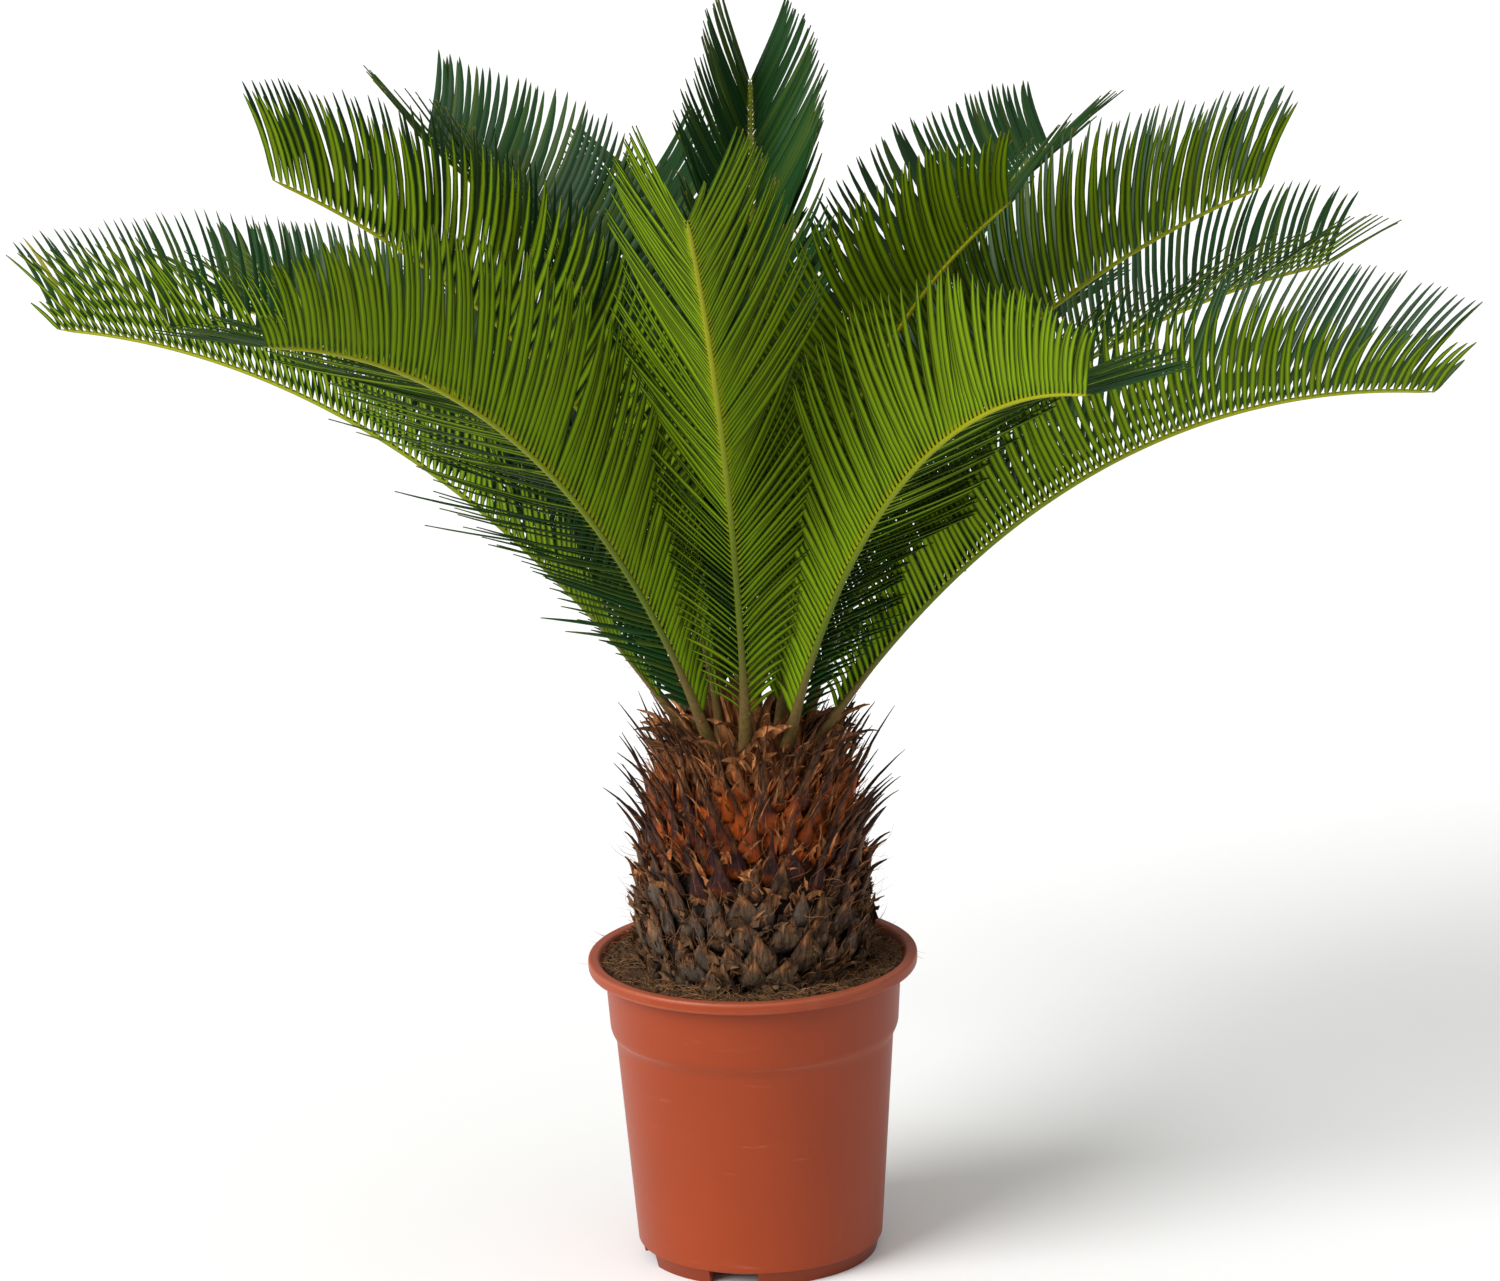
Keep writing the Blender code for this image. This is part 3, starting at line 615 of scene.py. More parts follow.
def midrib_look(settings):
    """Midrib: felted tan foot, olive stalk, then green that turns golden towards the tip."""
    graph = Graph("midribs", Specular_IOR_Level=0.15)
    along = graph.attribute("along")
    under = graph.attribute("under")
    cloud = graph.noise(70.0, 4.0, 0.6)
    felt = graph.noise(380.0, 4.0, 0.7)
    drift = along + (cloud - 0.5) * 0.06
    colour = graph.mix((0.085, 0.070, 0.012), (0.085, 0.125, 0.005), drift.ramp(0.06, 0.24))
    colour = graph.mix(colour, (0.165, 0.215, 0.004), drift.ramp(0.28, 0.50))
    colour = graph.mix(colour, settings.midrib, drift.ramp(0.45, 0.75))
    colour = graph.mix(colour, (0.035, 0.085, 0.016), (1.0 - under) * drift.ramp(0.2, 0.5) * 0.5)
    colour = graph.mix(colour, (0.150, 0.080, 0.032), drift.ramp(0.24, 0.02) * felt.ramp(0.38, 0.60))
    colour = graph.mix(colour, (0.23, 0.115, 0.045), along.ramp(0.035, 0.0) * 0.9)
    return graph.finish(colour, 0.42 + drift.ramp(0.2, 0.0) * 0.35, felt, 0.0004, 0.5)


def floor_look(settings):
    graph = Graph("floor", Specular_IOR_Level=0.2)
    tone = graph.noise(1.5, 2.0)
    colour = graph.mix(shade(settings.floor, 0.995), settings.floor, tone)
    return graph.finish(colour, 0.9)


def polar(radius, azimuth, height):
    """Points at these radii, azimuths in degrees and heights, about the pot's axis."""
    radius, angle, height = np.broadcast_arrays(radius, np.radians(azimuth), height)
    return np.stack([radius * np.sin(angle), -radius * np.cos(angle), height], axis=-1)


def tilted(directions):
    """Directions of the upright plant, turned by the plant's lean."""
    sine, cosine = math.sin(math.radians(LEAN)), math.cos(math.radians(LEAN))
    turn = np.array([[cosine, 0.0, sine], [0.0, 1.0, 0.0], [-sine, 0.0, cosine]])
    return directions @ turn.T


def leaned(points):
    """Points of the upright plant, turned by its lean about the point at the soil."""
    return tilted(points - UP * LEAN_HEIGHT) + UP * LEAN_HEIGHT


def turned(first, second, angle):
    """Two directions at right angles, both turned by an angle in their own plane."""
    cosine, sine = np.cos(angle), np.sin(angle)
    return cosine * first + sine * second, cosine * second - sine * first


def table(at, pairs):
    """Values at these shares of the way, read between the pairs of share and value."""
    return np.interp(at, *np.transpose(pairs))


def unit(vectors):
    return vectors / np.linalg.norm(vectors, axis=-1, keepdims=True)


def mesh_piece(name, parts, looks, sharp=None):
    """One object from parts, each its points, its faces by corner count, values and look."""
    points, values, start = [], {}, 0
    corners, totals, slots = [], [], []
    keys = sorted({key for part in parts for key in part[2]})
    for place, faces, given, look in parts:
        points.append(place)
        for key in keys:
            values.setdefault(key, []).append(given.get(key, np.zeros(len(place))))
        for block in faces:
            corners.append((block + start).ravel())
            totals.append(np.full(len(block), block.shape[1]))
            slots.append(np.full(len(block), look))
        start += len(place)
    points = np.concatenate(points) + AXIS
    corners, totals = np.concatenate(corners), np.concatenate(totals)
    mesh = bpy.data.meshes.new(name)
    mesh.vertices.add(len(points))
    mesh.vertices.foreach_set("co", points.astype(np.float32).ravel())
    mesh.loops.add(len(corners))
    mesh.loops.foreach_set("vertex_index", corners.astype(np.int32))
    mesh.polygons.add(len(totals))
    starts = np.concatenate([[0], np.cumsum(totals)[:-1]])
    mesh.polygons.foreach_set("loop_start", starts.astype(np.int32))
    mesh.polygons.foreach_set("material_index", np.concatenate(slots).astype(np.int32))
    mesh.update(calc_edges=True)
    mesh.polygons.foreach_set("use_smooth", np.ones(len(totals), bool))
    for key in keys:
        attribute = mesh.attributes.new(key, "FLOAT", "POINT")
        attribute.data.foreach_set("value", np.concatenate(values[key]).astype(np.float32))
    for look in looks:
        mesh.materials.append(look)
    if sharp is not None:
        mesh.set_sharp_from_angle(angle=math.radians(sharp))
    if mesh.validate():
        raise RuntimeError(f"{name} has broken faces")
    made = bpy.data.objects.new(name, mesh)
    bpy.context.scene.collection.objects.link(made)
    return made


def tube_faces(count, stations, sides, flip=False, closed=True):
    """Quads between the rings of equal tubes and a face over each end."""
    ring = np.arange(sides)
    after = (ring + 1) % sides
    step = np.arange(stations - 1)[:, None] * sides
    quads = np.stack([step + ring, step + after, step + sides + after, step + sides + ring], -1)
    base = np.arange(count)[:, None] * (stations * sides)
    quads = (quads.reshape(1, -1, 4) + base[:, :, None]).reshape(-1, 4)
    blocks = [quads]
    if closed:
        blocks.append(ring[::-1][None, :] + base)
        blocks.append(ring[None, :] + base + (stations - 1) * sides)
    return [block[:, ::-1] for block in blocks] if flip else blocks


def bodies(rings, look=0, flip=False, **values):
    """A part of mesh_piece from closed tubes, whose rings are (count, stations, corners, 3).

    A value is given for whole tubes, for stations or for corners, and written out for all points.
    """
    shape = rings.shape[:3]
    values = {key: np.broadcast_to(value, shape).ravel() for key, value in values.items()}
    return rings.reshape(-1, 3), tube_faces(*shape, flip=flip), values, look


def tubes(paths, across, thick, section, width, depth):
    """Bodies carried along paths: each ring is its section, stretched by width and by depth.

    paths is (count, stations, 3), across and thick are the ring's two unit directions, section is
    (sides, 2) or (count, stations, sides, 2), and width and depth are (count, stations).
    """
    section = np.broadcast_to(section, (*paths.shape[:2], *section.shape[-2:]))
    x = (section[..., 0] * width[..., None])[..., None]
    y = (section[..., 1] * depth[..., None])[..., None]
    return paths[:, :, None, :] + x * across[:, :, None, :] + y * thick[:, :, None, :]


def bezier(controls, at):
    """Cubic curves through (count, 4, 3) control points at these shares of the way."""
    at = np.asarray(at)
    weights = np.stack(
        [(1 - at) ** 3, 3 * at * (1 - at) ** 2, 3 * at**2 * (1 - at), at**3], axis=-1
    )
    return np.einsum("sk,nkc->nsc", weights, controls)


def frames(paths, guide):
    """Unit directions across and out of each path. guide is roughly the direction outwards."""
    along = unit(np.gradient(paths, axis=1))
    across = unit(np.cross(guide, along))
    return across, np.cross(along, across)


def ellipse(sides, ridge=0.0):
    """A round section, run anticlockwise, with its front drawn up to a soft ridge."""
    angle = np.radians(360.0 / sides * np.arange(sides))
    x, y = np.cos(angle), np.sin(angle)
    return np.stack([x, y * (1.0 + ridge * np.clip(y, 0.0, 1.0) ** 4)], axis=-1)


def pot_profile():
    """The pot's corners, each replaced by a quadratic curve that starts its rounding back."""
    corners = np.array([(r, z) for r, z, _ in POT_CORNERS])
    back = np.array([c for _, _, c in POT_CORNERS])[1:-1, None]
    here, before, after = corners[1:-1], corners[:-2], corners[2:]
    near, far = here - unit(here - before) * back, here + unit(after - here) * back
    at = np.linspace(0.0, 1.0, 6)[None, :, None]
    near, here, far = near[:, None], here[:, None], far[:, None]
    curves = (1 - at) ** 2 * near + 2 * at * (1 - at) * here + at**2 * far
    return np.concatenate([corners[:1], curves.reshape(-1, 2), corners[-1:]])


def pot_parts():
    """A lathed wall from the foot's crease over the lip to the floor, and a notched foot ring.

    The wall carries its rounded profile round the axis. The foot ring is left out over the drain
    notches, where the flat underside runs out to the crease.
    """
    step = 360.0 / POT_SIDES
    azimuth = NOTCH_CENTRES[1] - NOTCH_WIDTH / 2 + step * np.arange(POT_SIDES)
    profile = pot_profile()
    wall = polar(profile[:, :1], azimuth, profile[:, 1:])
    foot = [(FOOT_OUTER, 0.0), (FOOT_INNER, 0.0), (FOOT_INNER, FOOT_HEIGHT)]
    rings = [polar(radius, azimuth, height) for radius, height in foot]
    points = np.concatenate([wall.reshape(-1, 3), *rings])
    top = len(profile) * POT_SIDES
    here = np.arange(POT_SIDES)
    after = (here + 1) % POT_SIDES
    crease, outer, inner, under = here, top + here, top + POT_SIDES + here, top + 2 * POT_SIDES + here
    middle = azimuth + step / 2
    turn = (middle[:, None] - np.array(NOTCH_CENTRES) + 180.0) % 360.0 - 180.0
    notched = (np.abs(turn) < NOTCH_WIDTH / 2).any(axis=1)

    def strip(lower, upper, where):
        return np.stack([lower, lower[after], upper[after], upper], axis=-1)[where]

    starts = ~notched & np.roll(notched, 1)
    ends = ~notched & np.roll(notched, -1)
    side = np.stack([crease, under, inner, outer], axis=-1)[starts]
    other = np.stack([crease, outer, inner, under], axis=-1)[after][ends]
    quads = [
        *tube_faces(1, len(profile), POT_SIDES, closed=False),
        strip(outer, crease, ~notched),
        strip(inner, outer, ~notched),
        strip(under, inner, ~notched),
        strip(under, crease, notched),
        side,
        other,
    ]
    blocks = [*quads, under[::-1][None, :], (top - POT_SIDES + here)[None, :]]
    return [(points, blocks, {}, 0)]


def ripple(points, seed, scale, octaves=3):
    """Smooth relief between about -1 and 1: sums of sines in random directions, finer each octave."""
    rng = np.random.default_rng(seed)
    total, weight = np.zeros(points.shape[:-1]), 0.0
    for octave in range(octaves):
        for _ in range(5):
            way = unit(rng.normal(size=3)) * scale * 2.0**octave * rng.uniform(0.7, 1.3)
            total += np.sin(points @ way + rng.uniform(0.0, 6.3)) / 2.0**octave
        weight += 5**0.5 / 2.0**octave
    return total / weight


def soil_parts(settings):
    """A lathed bed: floor, wall, lumpy mound up to the trunk, and the trunk's plain socket.

    The mound's height runs from the edge to the socket by a smooth step, and ripples raise lumps
    that fade at both of its edges.
    """
    azimuth = 360.0 / SOIL_SIDES * np.arange(SOIL_SIDES)
    wall = [polar(radius, azimuth, height) for radius, height in SOIL_OUTSIDE]
    at = np.linspace(0.0, 1.0, 26)[:, None]
    (edge, _), (socket, high) = SOIL_EDGE, SOIL_SOCKET
    mound = soil_surface(edge + (socket - edge) * at, azimuth)
    mound = mound + (leaned(mound) - mound) * at[..., None] ** 2
    relief = ripple(mound, 11, 190.0, 4) * settings.relief * np.sin(np.pi * at) ** 0.35
    mound[..., 2] += relief - 0.0004
    hole = leaned(polar(socket, azimuth, np.array([[high - 0.004], [SOCKET_FLOOR]])))
    return [bodies(np.concatenate([np.array(wall), mound, hole])[None])]


def soil_surface(radius, azimuth):
    """Points on the soil's mean surface."""
    (edge, low), (socket, high) = SOIL_EDGE, SOIL_SOCKET
    at = np.clip((edge - radius) / (edge - socket), 0.0, 1.0)
    return polar(radius, azimuth, low + (high - low) * (3 * at**2 - 2 * at**3))


def strands(start, heading, length, thickness, bend, rng, stations=6):
    """Thin fibres: each a cubic curve along its heading, bent sideways twice at random.

    Gives their rings and a random value for each.
    """
    count = len(start)
    heading = unit(heading)
    sideways = unit(np.cross(heading, rng.normal(size=(count, 3))))
    other = np.cross(heading, sideways)
    length = length[:, None]
    kink = rng.uniform(-1.0, 1.0, (count, 4)) * bend
    first = start + length * (0.33 * heading + kink[:, :1] * sideways + kink[:, 1:2] * other)
    last = start + length * (0.66 * heading + kink[:, 2:3] * sideways - kink[:, 3:] * other)
    controls = np.stack([start, first, last, start + length * heading], axis=1)
    at = np.linspace(0.0, 1.0, stations)
    paths = bezier(controls, at)
    across, thick = frames(paths, sideways[:, None, :])
    taper = thickness[:, None] * table(at, FIBRE_WIDTH)
    rings = tubes(paths, across, thick, ellipse(3), taper, taper)
    return rings, rng.random(count)[:, None, None]


def soil_litter(settings):
    """Fibres strewn over the soil between the trunk and the pot's wall."""
    rng = np.random.default_rng(23)
    count = settings.fibres
    azimuth = rng.uniform(0.0, 360.0, count)
    radius = rng.uniform(LITTER_INNER, FIBRES_OUTER, count)
    start = soil_surface(radius, azimuth) + UP * rng.uniform(-0.0004, 0.0022, (count, 1))
    turn = rng.uniform(0.0, 360.0, count)
    heading = polar(1.0, turn, rng.uniform(-0.12, 0.22, count))
    length = rng.uniform(0.006, 0.026, count)
    length *= np.clip((SOIL_EDGE[0] + 0.0001 - radius) / 0.005, 0.3, 1.0)
    thickness = rng.uniform(0.00010, 0.00028, count)
    rings, spot = strands(start, heading, length, thickness, 0.35, rng)
    return [bodies(rings, spot=spot)]


def soil_crumbs():
    """Small lumps of peat: six-sided beads of two rings between two small ends."""
    rng = np.random.default_rng(29)
    azimuth = rng.uniform(0.0, 360.0, CRUMBS)
    radius = rng.uniform(LITTER_INNER, CRUMBS_OUTER, CRUMBS)
    centre = soil_surface(radius, azimuth)
    size = rng.uniform(0.0006, 0.0026, CRUMBS)
    axis = unit(rng.normal(size=(CRUMBS, 3)))
    at = np.array([-1.0, -0.55, 0.35, 1.0])
    paths = centre[:, None, :] + axis[:, None, :] * size[:, None, None] * at[None, :, None]
    across, thick = frames(paths, unit(rng.normal(size=(CRUMBS, 1, 3))))
    wide = size[:, None] * np.array([0.25, 0.9, 0.95, 0.2]) * rng.uniform(0.7, 1.2, (CRUMBS, 4))
    return [bodies(tubes(paths, across, thick, ellipse(6), wide, wide * 0.8))]


def outline(row):
    """Radius and height of the trunk's outline at rows, which stop at its two ends."""
    rows = np.arange(len(OUTLINE_RADIUS))
    return np.interp(row, rows, OUTLINE_RADIUS), np.interp(row, rows, OUTLINE_HEIGHT)


def trunk_place(row, place):
    """Point and outward normal on the trunk's outline at rows and places that need not be whole."""
    azimuth = 360.0 * place / BASES_ROUND
    row = np.clip(row, 0.0, len(OUTLINE_RADIUS) - 1)
    (radius, height), ahead, behind = outline(row), outline(row + 0.5), outline(row - 0.5)
    slope = unit(np.stack([ahead[1] - behind[1], behind[0] - ahead[0]], axis=-1))
    out = polar(1.0, azimuth, 0.0)
    normal = slope[..., :1] * out + slope[..., 1:] * UP
    return polar(radius, azimuth, height), normal, out


def core_parts():
    """The trunk inside its leaf bases: the outline drawn in a little, with ripples, and the bud."""
    last = len(OUTLINE_RADIUS) - 1
    rows = np.linspace(0.0, last, last * RINGS_A_ROW + 1)[:, None]
    place = BASES_ROUND / CORE_SIDES * np.arange(CORE_SIDES)
    points, normal, _ = trunk_place(*np.broadcast_arrays(rows, place))
    points = points - normal * (0.0016 + 0.0012 * ripple(points, 5, 160.0)[..., None])
    azimuth = 360.0 / CORE_SIDES * np.arange(CORE_SIDES)
    stub = polar(STUB_RADIUS, azimuth, np.array([[SOCKET_FLOOR + GAP], OUTLINE_HEIGHT[:1]]))
    bud = [polar(radius, azimuth, CROWN_HEIGHT + rise) for radius, rise in BUD]
    return [bodies(leaned(np.concatenate([stub, points, bud]))[None])]


def base_places():
    """Rows and places of the old leaf bases: staggered by half a place a row, each a little off."""
    rng = np.random.default_rng(7)
    rows = np.linspace(0.15, 9.9, BASE_ROWS)
    row, place = np.meshgrid(rows, np.arange(BASES_ROUND), indexing="ij")
    place = place + 0.5 * (np.arange(BASE_ROWS) % 2)[:, None] + 0.5
    row = row + rng.uniform(-0.27, 0.27, row.shape)
    place = place + rng.uniform(-0.25, 0.25, row.shape)
    return row.ravel(), place.ravel()


def base_parts(settings):
    """Old leaf bases: each a tongue that rises on the trunk's face and leaves it at its tip.

    A tongue's middle line is a cubic curve from behind the base below, over its own face, to the
    tip. Low down it is an onion-shaped face with a short neck, high up a wide pointed face drawn
    out into a long spine. Its width and depth follow tables along that line, blended by how high
    it sits, and its section has shallow folds that run lengthwise.
    """
    rng = np.random.default_rng(11)
    row, place = base_places()
    count = len(row)
    wobble = rng.random(count)
    high = np.clip((row - 3.0 + rng.normal(0.0, 0.4, count)) / 2.4, 0.0, 1.0)
    swell = (0.0036 - 0.0012 * high)[:, None] * rng.uniform(0.55, 1.25, (count, 1))
    reach = 0.0060 + 0.0050 * wobble + (settings.spine_length - 0.007 + 0.013 * wobble) * high
    tilt = np.where(high > 0.3, 66.0 - 3.2 * row, 46.0) + 18.0 * (rng.random(count) - 0.5)
    tilt = np.radians(tilt)[:, None]
    foot, foot_normal, _ = trunk_place(row - rng.uniform(0.95, 1.15, count), place)
    chest, chest_normal, _ = trunk_place(row - 0.45, place)
    neck, normal, out = trunk_place(row + 0.22, place + rng.normal(0.0, 0.10, count))
    round_way = np.cross(UP, out)
    spine = unit(turned(UP, out, tilt)[0] + round_way * rng.normal(0.0, 0.14, (count, 1)))
    reach = reach[:, None]
    curl = round_way * rng.normal(0.0, 0.12, (count, 1)) + UP * rng.normal(0.04, 0.12, (count, 1))
    neck = neck + 0.6 * swell * normal
    high = high[:, None]
    controls = np.stack(
        [
            foot - 0.0014 * foot_normal,
            chest + 1.6 * swell * chest_normal,
            neck + 0.22 * reach * (spine + UP * (1.0 - high)),
            neck + reach * (spine + curl * high),
        ],
        axis=1,
    )
    paths = bezier(controls, BASE_AT)
    low_width, high_width = table(BASE_AT, LOW_WIDTH), table(BASE_AT, HIGH_WIDTH)
    room = 2 * np.pi * outline(row)[0][:, None] / BASES_ROUND
    width = (low_width + (high_width - low_width) * high) * room * 0.55
    width = width * rng.uniform(0.66, 1.20, (count, 1))
    low_depth, high_depth = table(BASE_AT, LOW_DEPTH), table(BASE_AT, HIGH_DEPTH)
    depth = low_depth + (high_depth - low_depth) * high
    across, thick = frames(paths, out[:, None, :])
    section = ellipse(16, 0.30)
    x, front = section[:, 0], np.clip(section[:, 1], 0.0, 1.0)
    phase = rng.uniform(0.0, 6.3, (count, 1))
    folds = (0.16 * np.sin(9.0 * x + phase) + 0.10 * np.sin(17.0 * x + 2.0 * phase)) * front
    folded = np.broadcast_to(section, (count, len(BASE_AT), *section.shape)).copy()
    folded[..., 1] += folds[:, None, :]
    rings = tubes(paths, across, thick, folded, width, depth)
    rough = ripple(rings, 3, 420.0, 3)[..., None] * np.minimum(width, 0.0016)[..., None, None] * 0.45
    rings = leaned(rings + rough * thick[:, :, None, :])
    spot = rng.random(count)[:, None, None]
    along = BASE_AT[:, None]
    return [bodies(rings, along=along, across=x, spot=spot, young=high[:, :, None])]


def blades(start, heading, guide, length, width, hook, rng, torn, cup, stations, lanes=3):
    """Papery blades: each starts along its heading and hooks over towards hook at its tip.

    The section is a trough as deep as cup, widest a quarter of the way up, and torn says how far
    its two edges wander from one station to the next.
    """
    count = len(start)
    length = length[:, None]
    heading = unit(heading)
    first = start + 0.38 * length * heading
    last = first + 0.34 * length * unit(heading + 0.45 * hook)
    tip = last + 0.34 * length * unit(heading * 0.5 + hook)
    at = np.linspace(0.0, 1.0, stations)
    paths = bezier(np.stack([start, first, last, tip], axis=1), at)
    across, thick = frames(paths, guide[:, None, :])
    wide = width[:, None] * table(at, HUSK_WIDTH)
    x = np.linspace(-1.0, 1.0, lanes) * np.ones((count, stations, 1))
    edge = np.clip(1.0 + torn * rng.normal(size=(count, stations, 2)), 0.25, 1.7)
    x = np.where(x < 0.0, x * edge[..., :1], x * edge[..., 1:])
    level = cup * x**2
    thin = (PAPER / wide)[..., None]
    low = np.stack([x, level - thin], axis=-1)
    top = np.stack([x[..., ::-1], level[..., ::-1] + thin], axis=-1)
    rings = tubes(paths, across, thick, np.concatenate([low, top], axis=2), wide, wide)
    ruffle = ripple(rings, 17, 480.0, 2)[..., None] * wide[..., None, None] * 0.16
    rings = leaned(rings + ruffle * thick[:, :, None, :])
    lane = np.tile(np.abs(np.linspace(-1.0, 1.0, lanes)), 2)
    spot = rng.random(count)[:, None, None]
    return bodies(rings, along=at[:, None], across=lane, spot=spot)


def crown_husks():
    """Husks between and round the feet of the fronds, in rings, the outer ones leaning out more."""
    rng = np.random.default_rng(31)
    parts = []
    for count, radius, rise, lean, length, width, curl in HUSK_RINGS:
        azimuth = 360.0 / count * (np.arange(count) + rng.uniform(-0.45, 0.45, count))
        radius = radius + rng.uniform(-0.003, 0.003, count)
        start = polar(radius, azimuth, CROWN_HEIGHT + rise + rng.uniform(-0.003, 0.003, count))
        out = polar(1.0, azimuth, 0.0)
        round_way = np.cross(UP, out)
        tilt = np.radians(lean + rng.uniform(-14.0, 16.0, count))[:, None]
        heading = turned(UP, out, tilt)[0] + round_way * rng.normal(0.0, 0.20, (count, 1))
        turn = rng.uniform(-1.0, 1.0, (count, 1))
        hook = out * curl * rng.uniform(-0.4, 2.0, (count, 1)) + round_way * 0.9 * turn
        hook = hook - UP * curl * rng.uniform(0.0, 1.5, (count, 1))
        size = length * rng.uniform(0.55, 1.15, count)
        wide = width * rng.uniform(0.45, 1.15, count)
        parts.append(blades(start, heading, out, size, wide, hook, rng, 0.12, 0.45, 11, 5))
    return parts


def torn_flakes():
    """Torn flakes of dry husk: tufts at the necks of the leaf bases, and strays between them."""
    rng = np.random.default_rng(37)
    row, place = (np.repeat(value, FLAKES_A_BASE) for value in base_places())
    tufts, strays = len(row), STRAY_FLAKES
    row = np.concatenate([row + rng.normal(0.15, 0.22, tufts), rng.uniform(0.0, 9.8, strays)])
    place = place + rng.normal(0.0, 0.24, tufts)
    place = np.concatenate([place, rng.uniform(0.0, BASES_ROUND, strays)])
    count = len(row)
    old = np.clip((6.0 - row) / 3.0, 0.0, 1.0)
    start, normal, out = trunk_place(row, place)
    start = start + normal * rng.uniform(0.0006, 0.0050, (count, 1))
    round_way = np.cross(UP, out)
    tilt = np.radians(rng.uniform(0.0, 42.0, count))[:, None]
    sway = round_way * rng.normal(0.0, 0.30, (count, 1))
    heading = turned(UP, out, tilt)[0] + sway * (1.0 + old[:, None])
    hook = out * rng.uniform(-0.3, 1.0, (count, 1)) + round_way * rng.normal(0.0, 0.7, (count, 1))
    hook = (hook + UP * rng.uniform(-0.8, 0.6, (count, 1))) * (0.45 + 0.55 * old[:, None])
    length = rng.uniform(0.008, 0.026, count) * (1.0 - 0.35 * old)
    slim = np.interp(row, [5.0, 6.0], [1.0, 0.55])
    width = rng.uniform(0.0006, 0.0020, count) * (1.0 + old) * slim
    return [blades(start, heading, out, length, width, hook, rng, 0.38, 0.5, 7)]


def trunk_fibres():
    """Loose hairs on the trunk and fuzz on the stalks of the fronds."""
    rng = np.random.default_rng(41)
    count = TRUNK_HAIRS
    row = (len(OUTLINE_RADIUS) - 1.0) * rng.random(count)
    place = rng.uniform(0.0, BASES_ROUND, count)
    start, normal, out = trunk_place(row, place)
    start = start + normal * rng.uniform(0.000, 0.004, (count, 1))
    heading = UP + out * rng.uniform(0.0, 1.0, (count, 1)) + rng.normal(0.0, 0.5, (count, 3))
    length = rng.uniform(0.006, 0.032, count)
    thickness = rng.uniform(0.00007, 0.00024, count)
    rings, spot = strands(start, heading, length, thickness, 0.28, rng, 5)
    parts = [bodies(leaned(rings), spot=spot)]
    hairs = STALK_HAIRS
    for frond in FRONDS:
        share = rng.uniform(0.004, 0.13, hairs)
        place, tangent, normal, side = midrib(frond, share)
        wide, tall = midrib_size(share)
        angle = rng.uniform(0.0, 2.0 * np.pi, (hairs, 1))
        away = turned(side, normal, angle)[0]
        start = place + away * (0.5 * wide[:, None] * np.abs(np.cos(angle)))
        start = start + away * (0.5 * tall[:, None] * np.abs(np.sin(angle)) - 0.0003)
        heading = away + tangent * rng.uniform(-0.2, 1.2, (hairs, 1))
        length = rng.uniform(0.0015, 0.0045, hairs)
        thickness = rng.uniform(0.00007, 0.00014, hairs)
        rings, spot = strands(start, heading, length, thickness, 0.3, rng, 4)
        parts.append(bodies(leaned(rings), spot=spot))
    return parts


def midrib(frond, share):
    """Place, tangent, upper normal and side of a midrib at these shares of its length.

    Its lean from upright runs from the foot's to the tip's as a power of the share, and its place
    is the sum of short steps along that lean.
    """
    azimuth, foot, length, lean, droop, late, turn = frond[1:8]
    share = np.asarray(share, dtype=float)[:, None]
    steps = (np.arange(48) + 0.5) / 48 * share
    angles = np.radians(lean + (droop - lean) * steps**late)
    radius = foot + np.sin(angles).mean(axis=1) * length * share[:, 0]
    height = CROWN_HEIGHT + GAP + np.cos(angles).mean(axis=1) * length * share[:, 0]
    angle = np.radians(lean + (droop - lean) * share**late)
    tangent, below = turned(UP, polar(1.0, azimuth, 0.0), angle)
    normal, side = turned(-below, np.cross(-below, tangent), np.radians(turn * share))
    return polar(radius, azimuth, height), tangent, normal, side


def midrib_size(share):
    """Width and thickness of a midrib: slender at the tip, swollen at the foot."""
    slim = 1.0 - share
    swollen = np.clip(1.0 - share / SWOLLEN_SHARE, 0.0, 1.0) ** 1.5
    wide = 0.0021 + 0.0022 * slim + 0.0066 * swollen
    tall = 0.0019 + 0.0018 * slim + 0.0040 * swollen
    return wide, tall


def midrib_part(frond):
    """A rounded rail, flat above and round below, carried along the midrib to a fine tip."""
    share = np.concatenate([np.linspace(0.0, SWOLLEN_SHARE, 14), np.linspace(0.18, 1.0, 44)])
    place, _, normal, side = midrib(frond, share)
    wide, tall = midrib_size(share)
    angle = np.radians(360.0 / MIDRIB_SIDES * (np.arange(MIDRIB_SIDES) + 0.5))
    x = np.sign(np.cos(angle)) * np.abs(np.cos(angle)) ** 0.8
    y = np.where(np.sin(angle) > 0.0, 0.72, 1.0) * np.sin(angle)
    section = np.stack([x, y], axis=-1)
    end = np.clip((1.0 - share) / 0.02, 0.12, 1.0)
    width, depth = wide * 0.55 * end, tall * 0.64 * end
    rings = tubes(place[None], side[None], normal[None], section, width[None], depth[None])
    # side x normal points back down the midrib, so the faces are turned.
    return bodies(leaned(rings), 1, flip=True, along=share[:, None], under=y < 0.2)


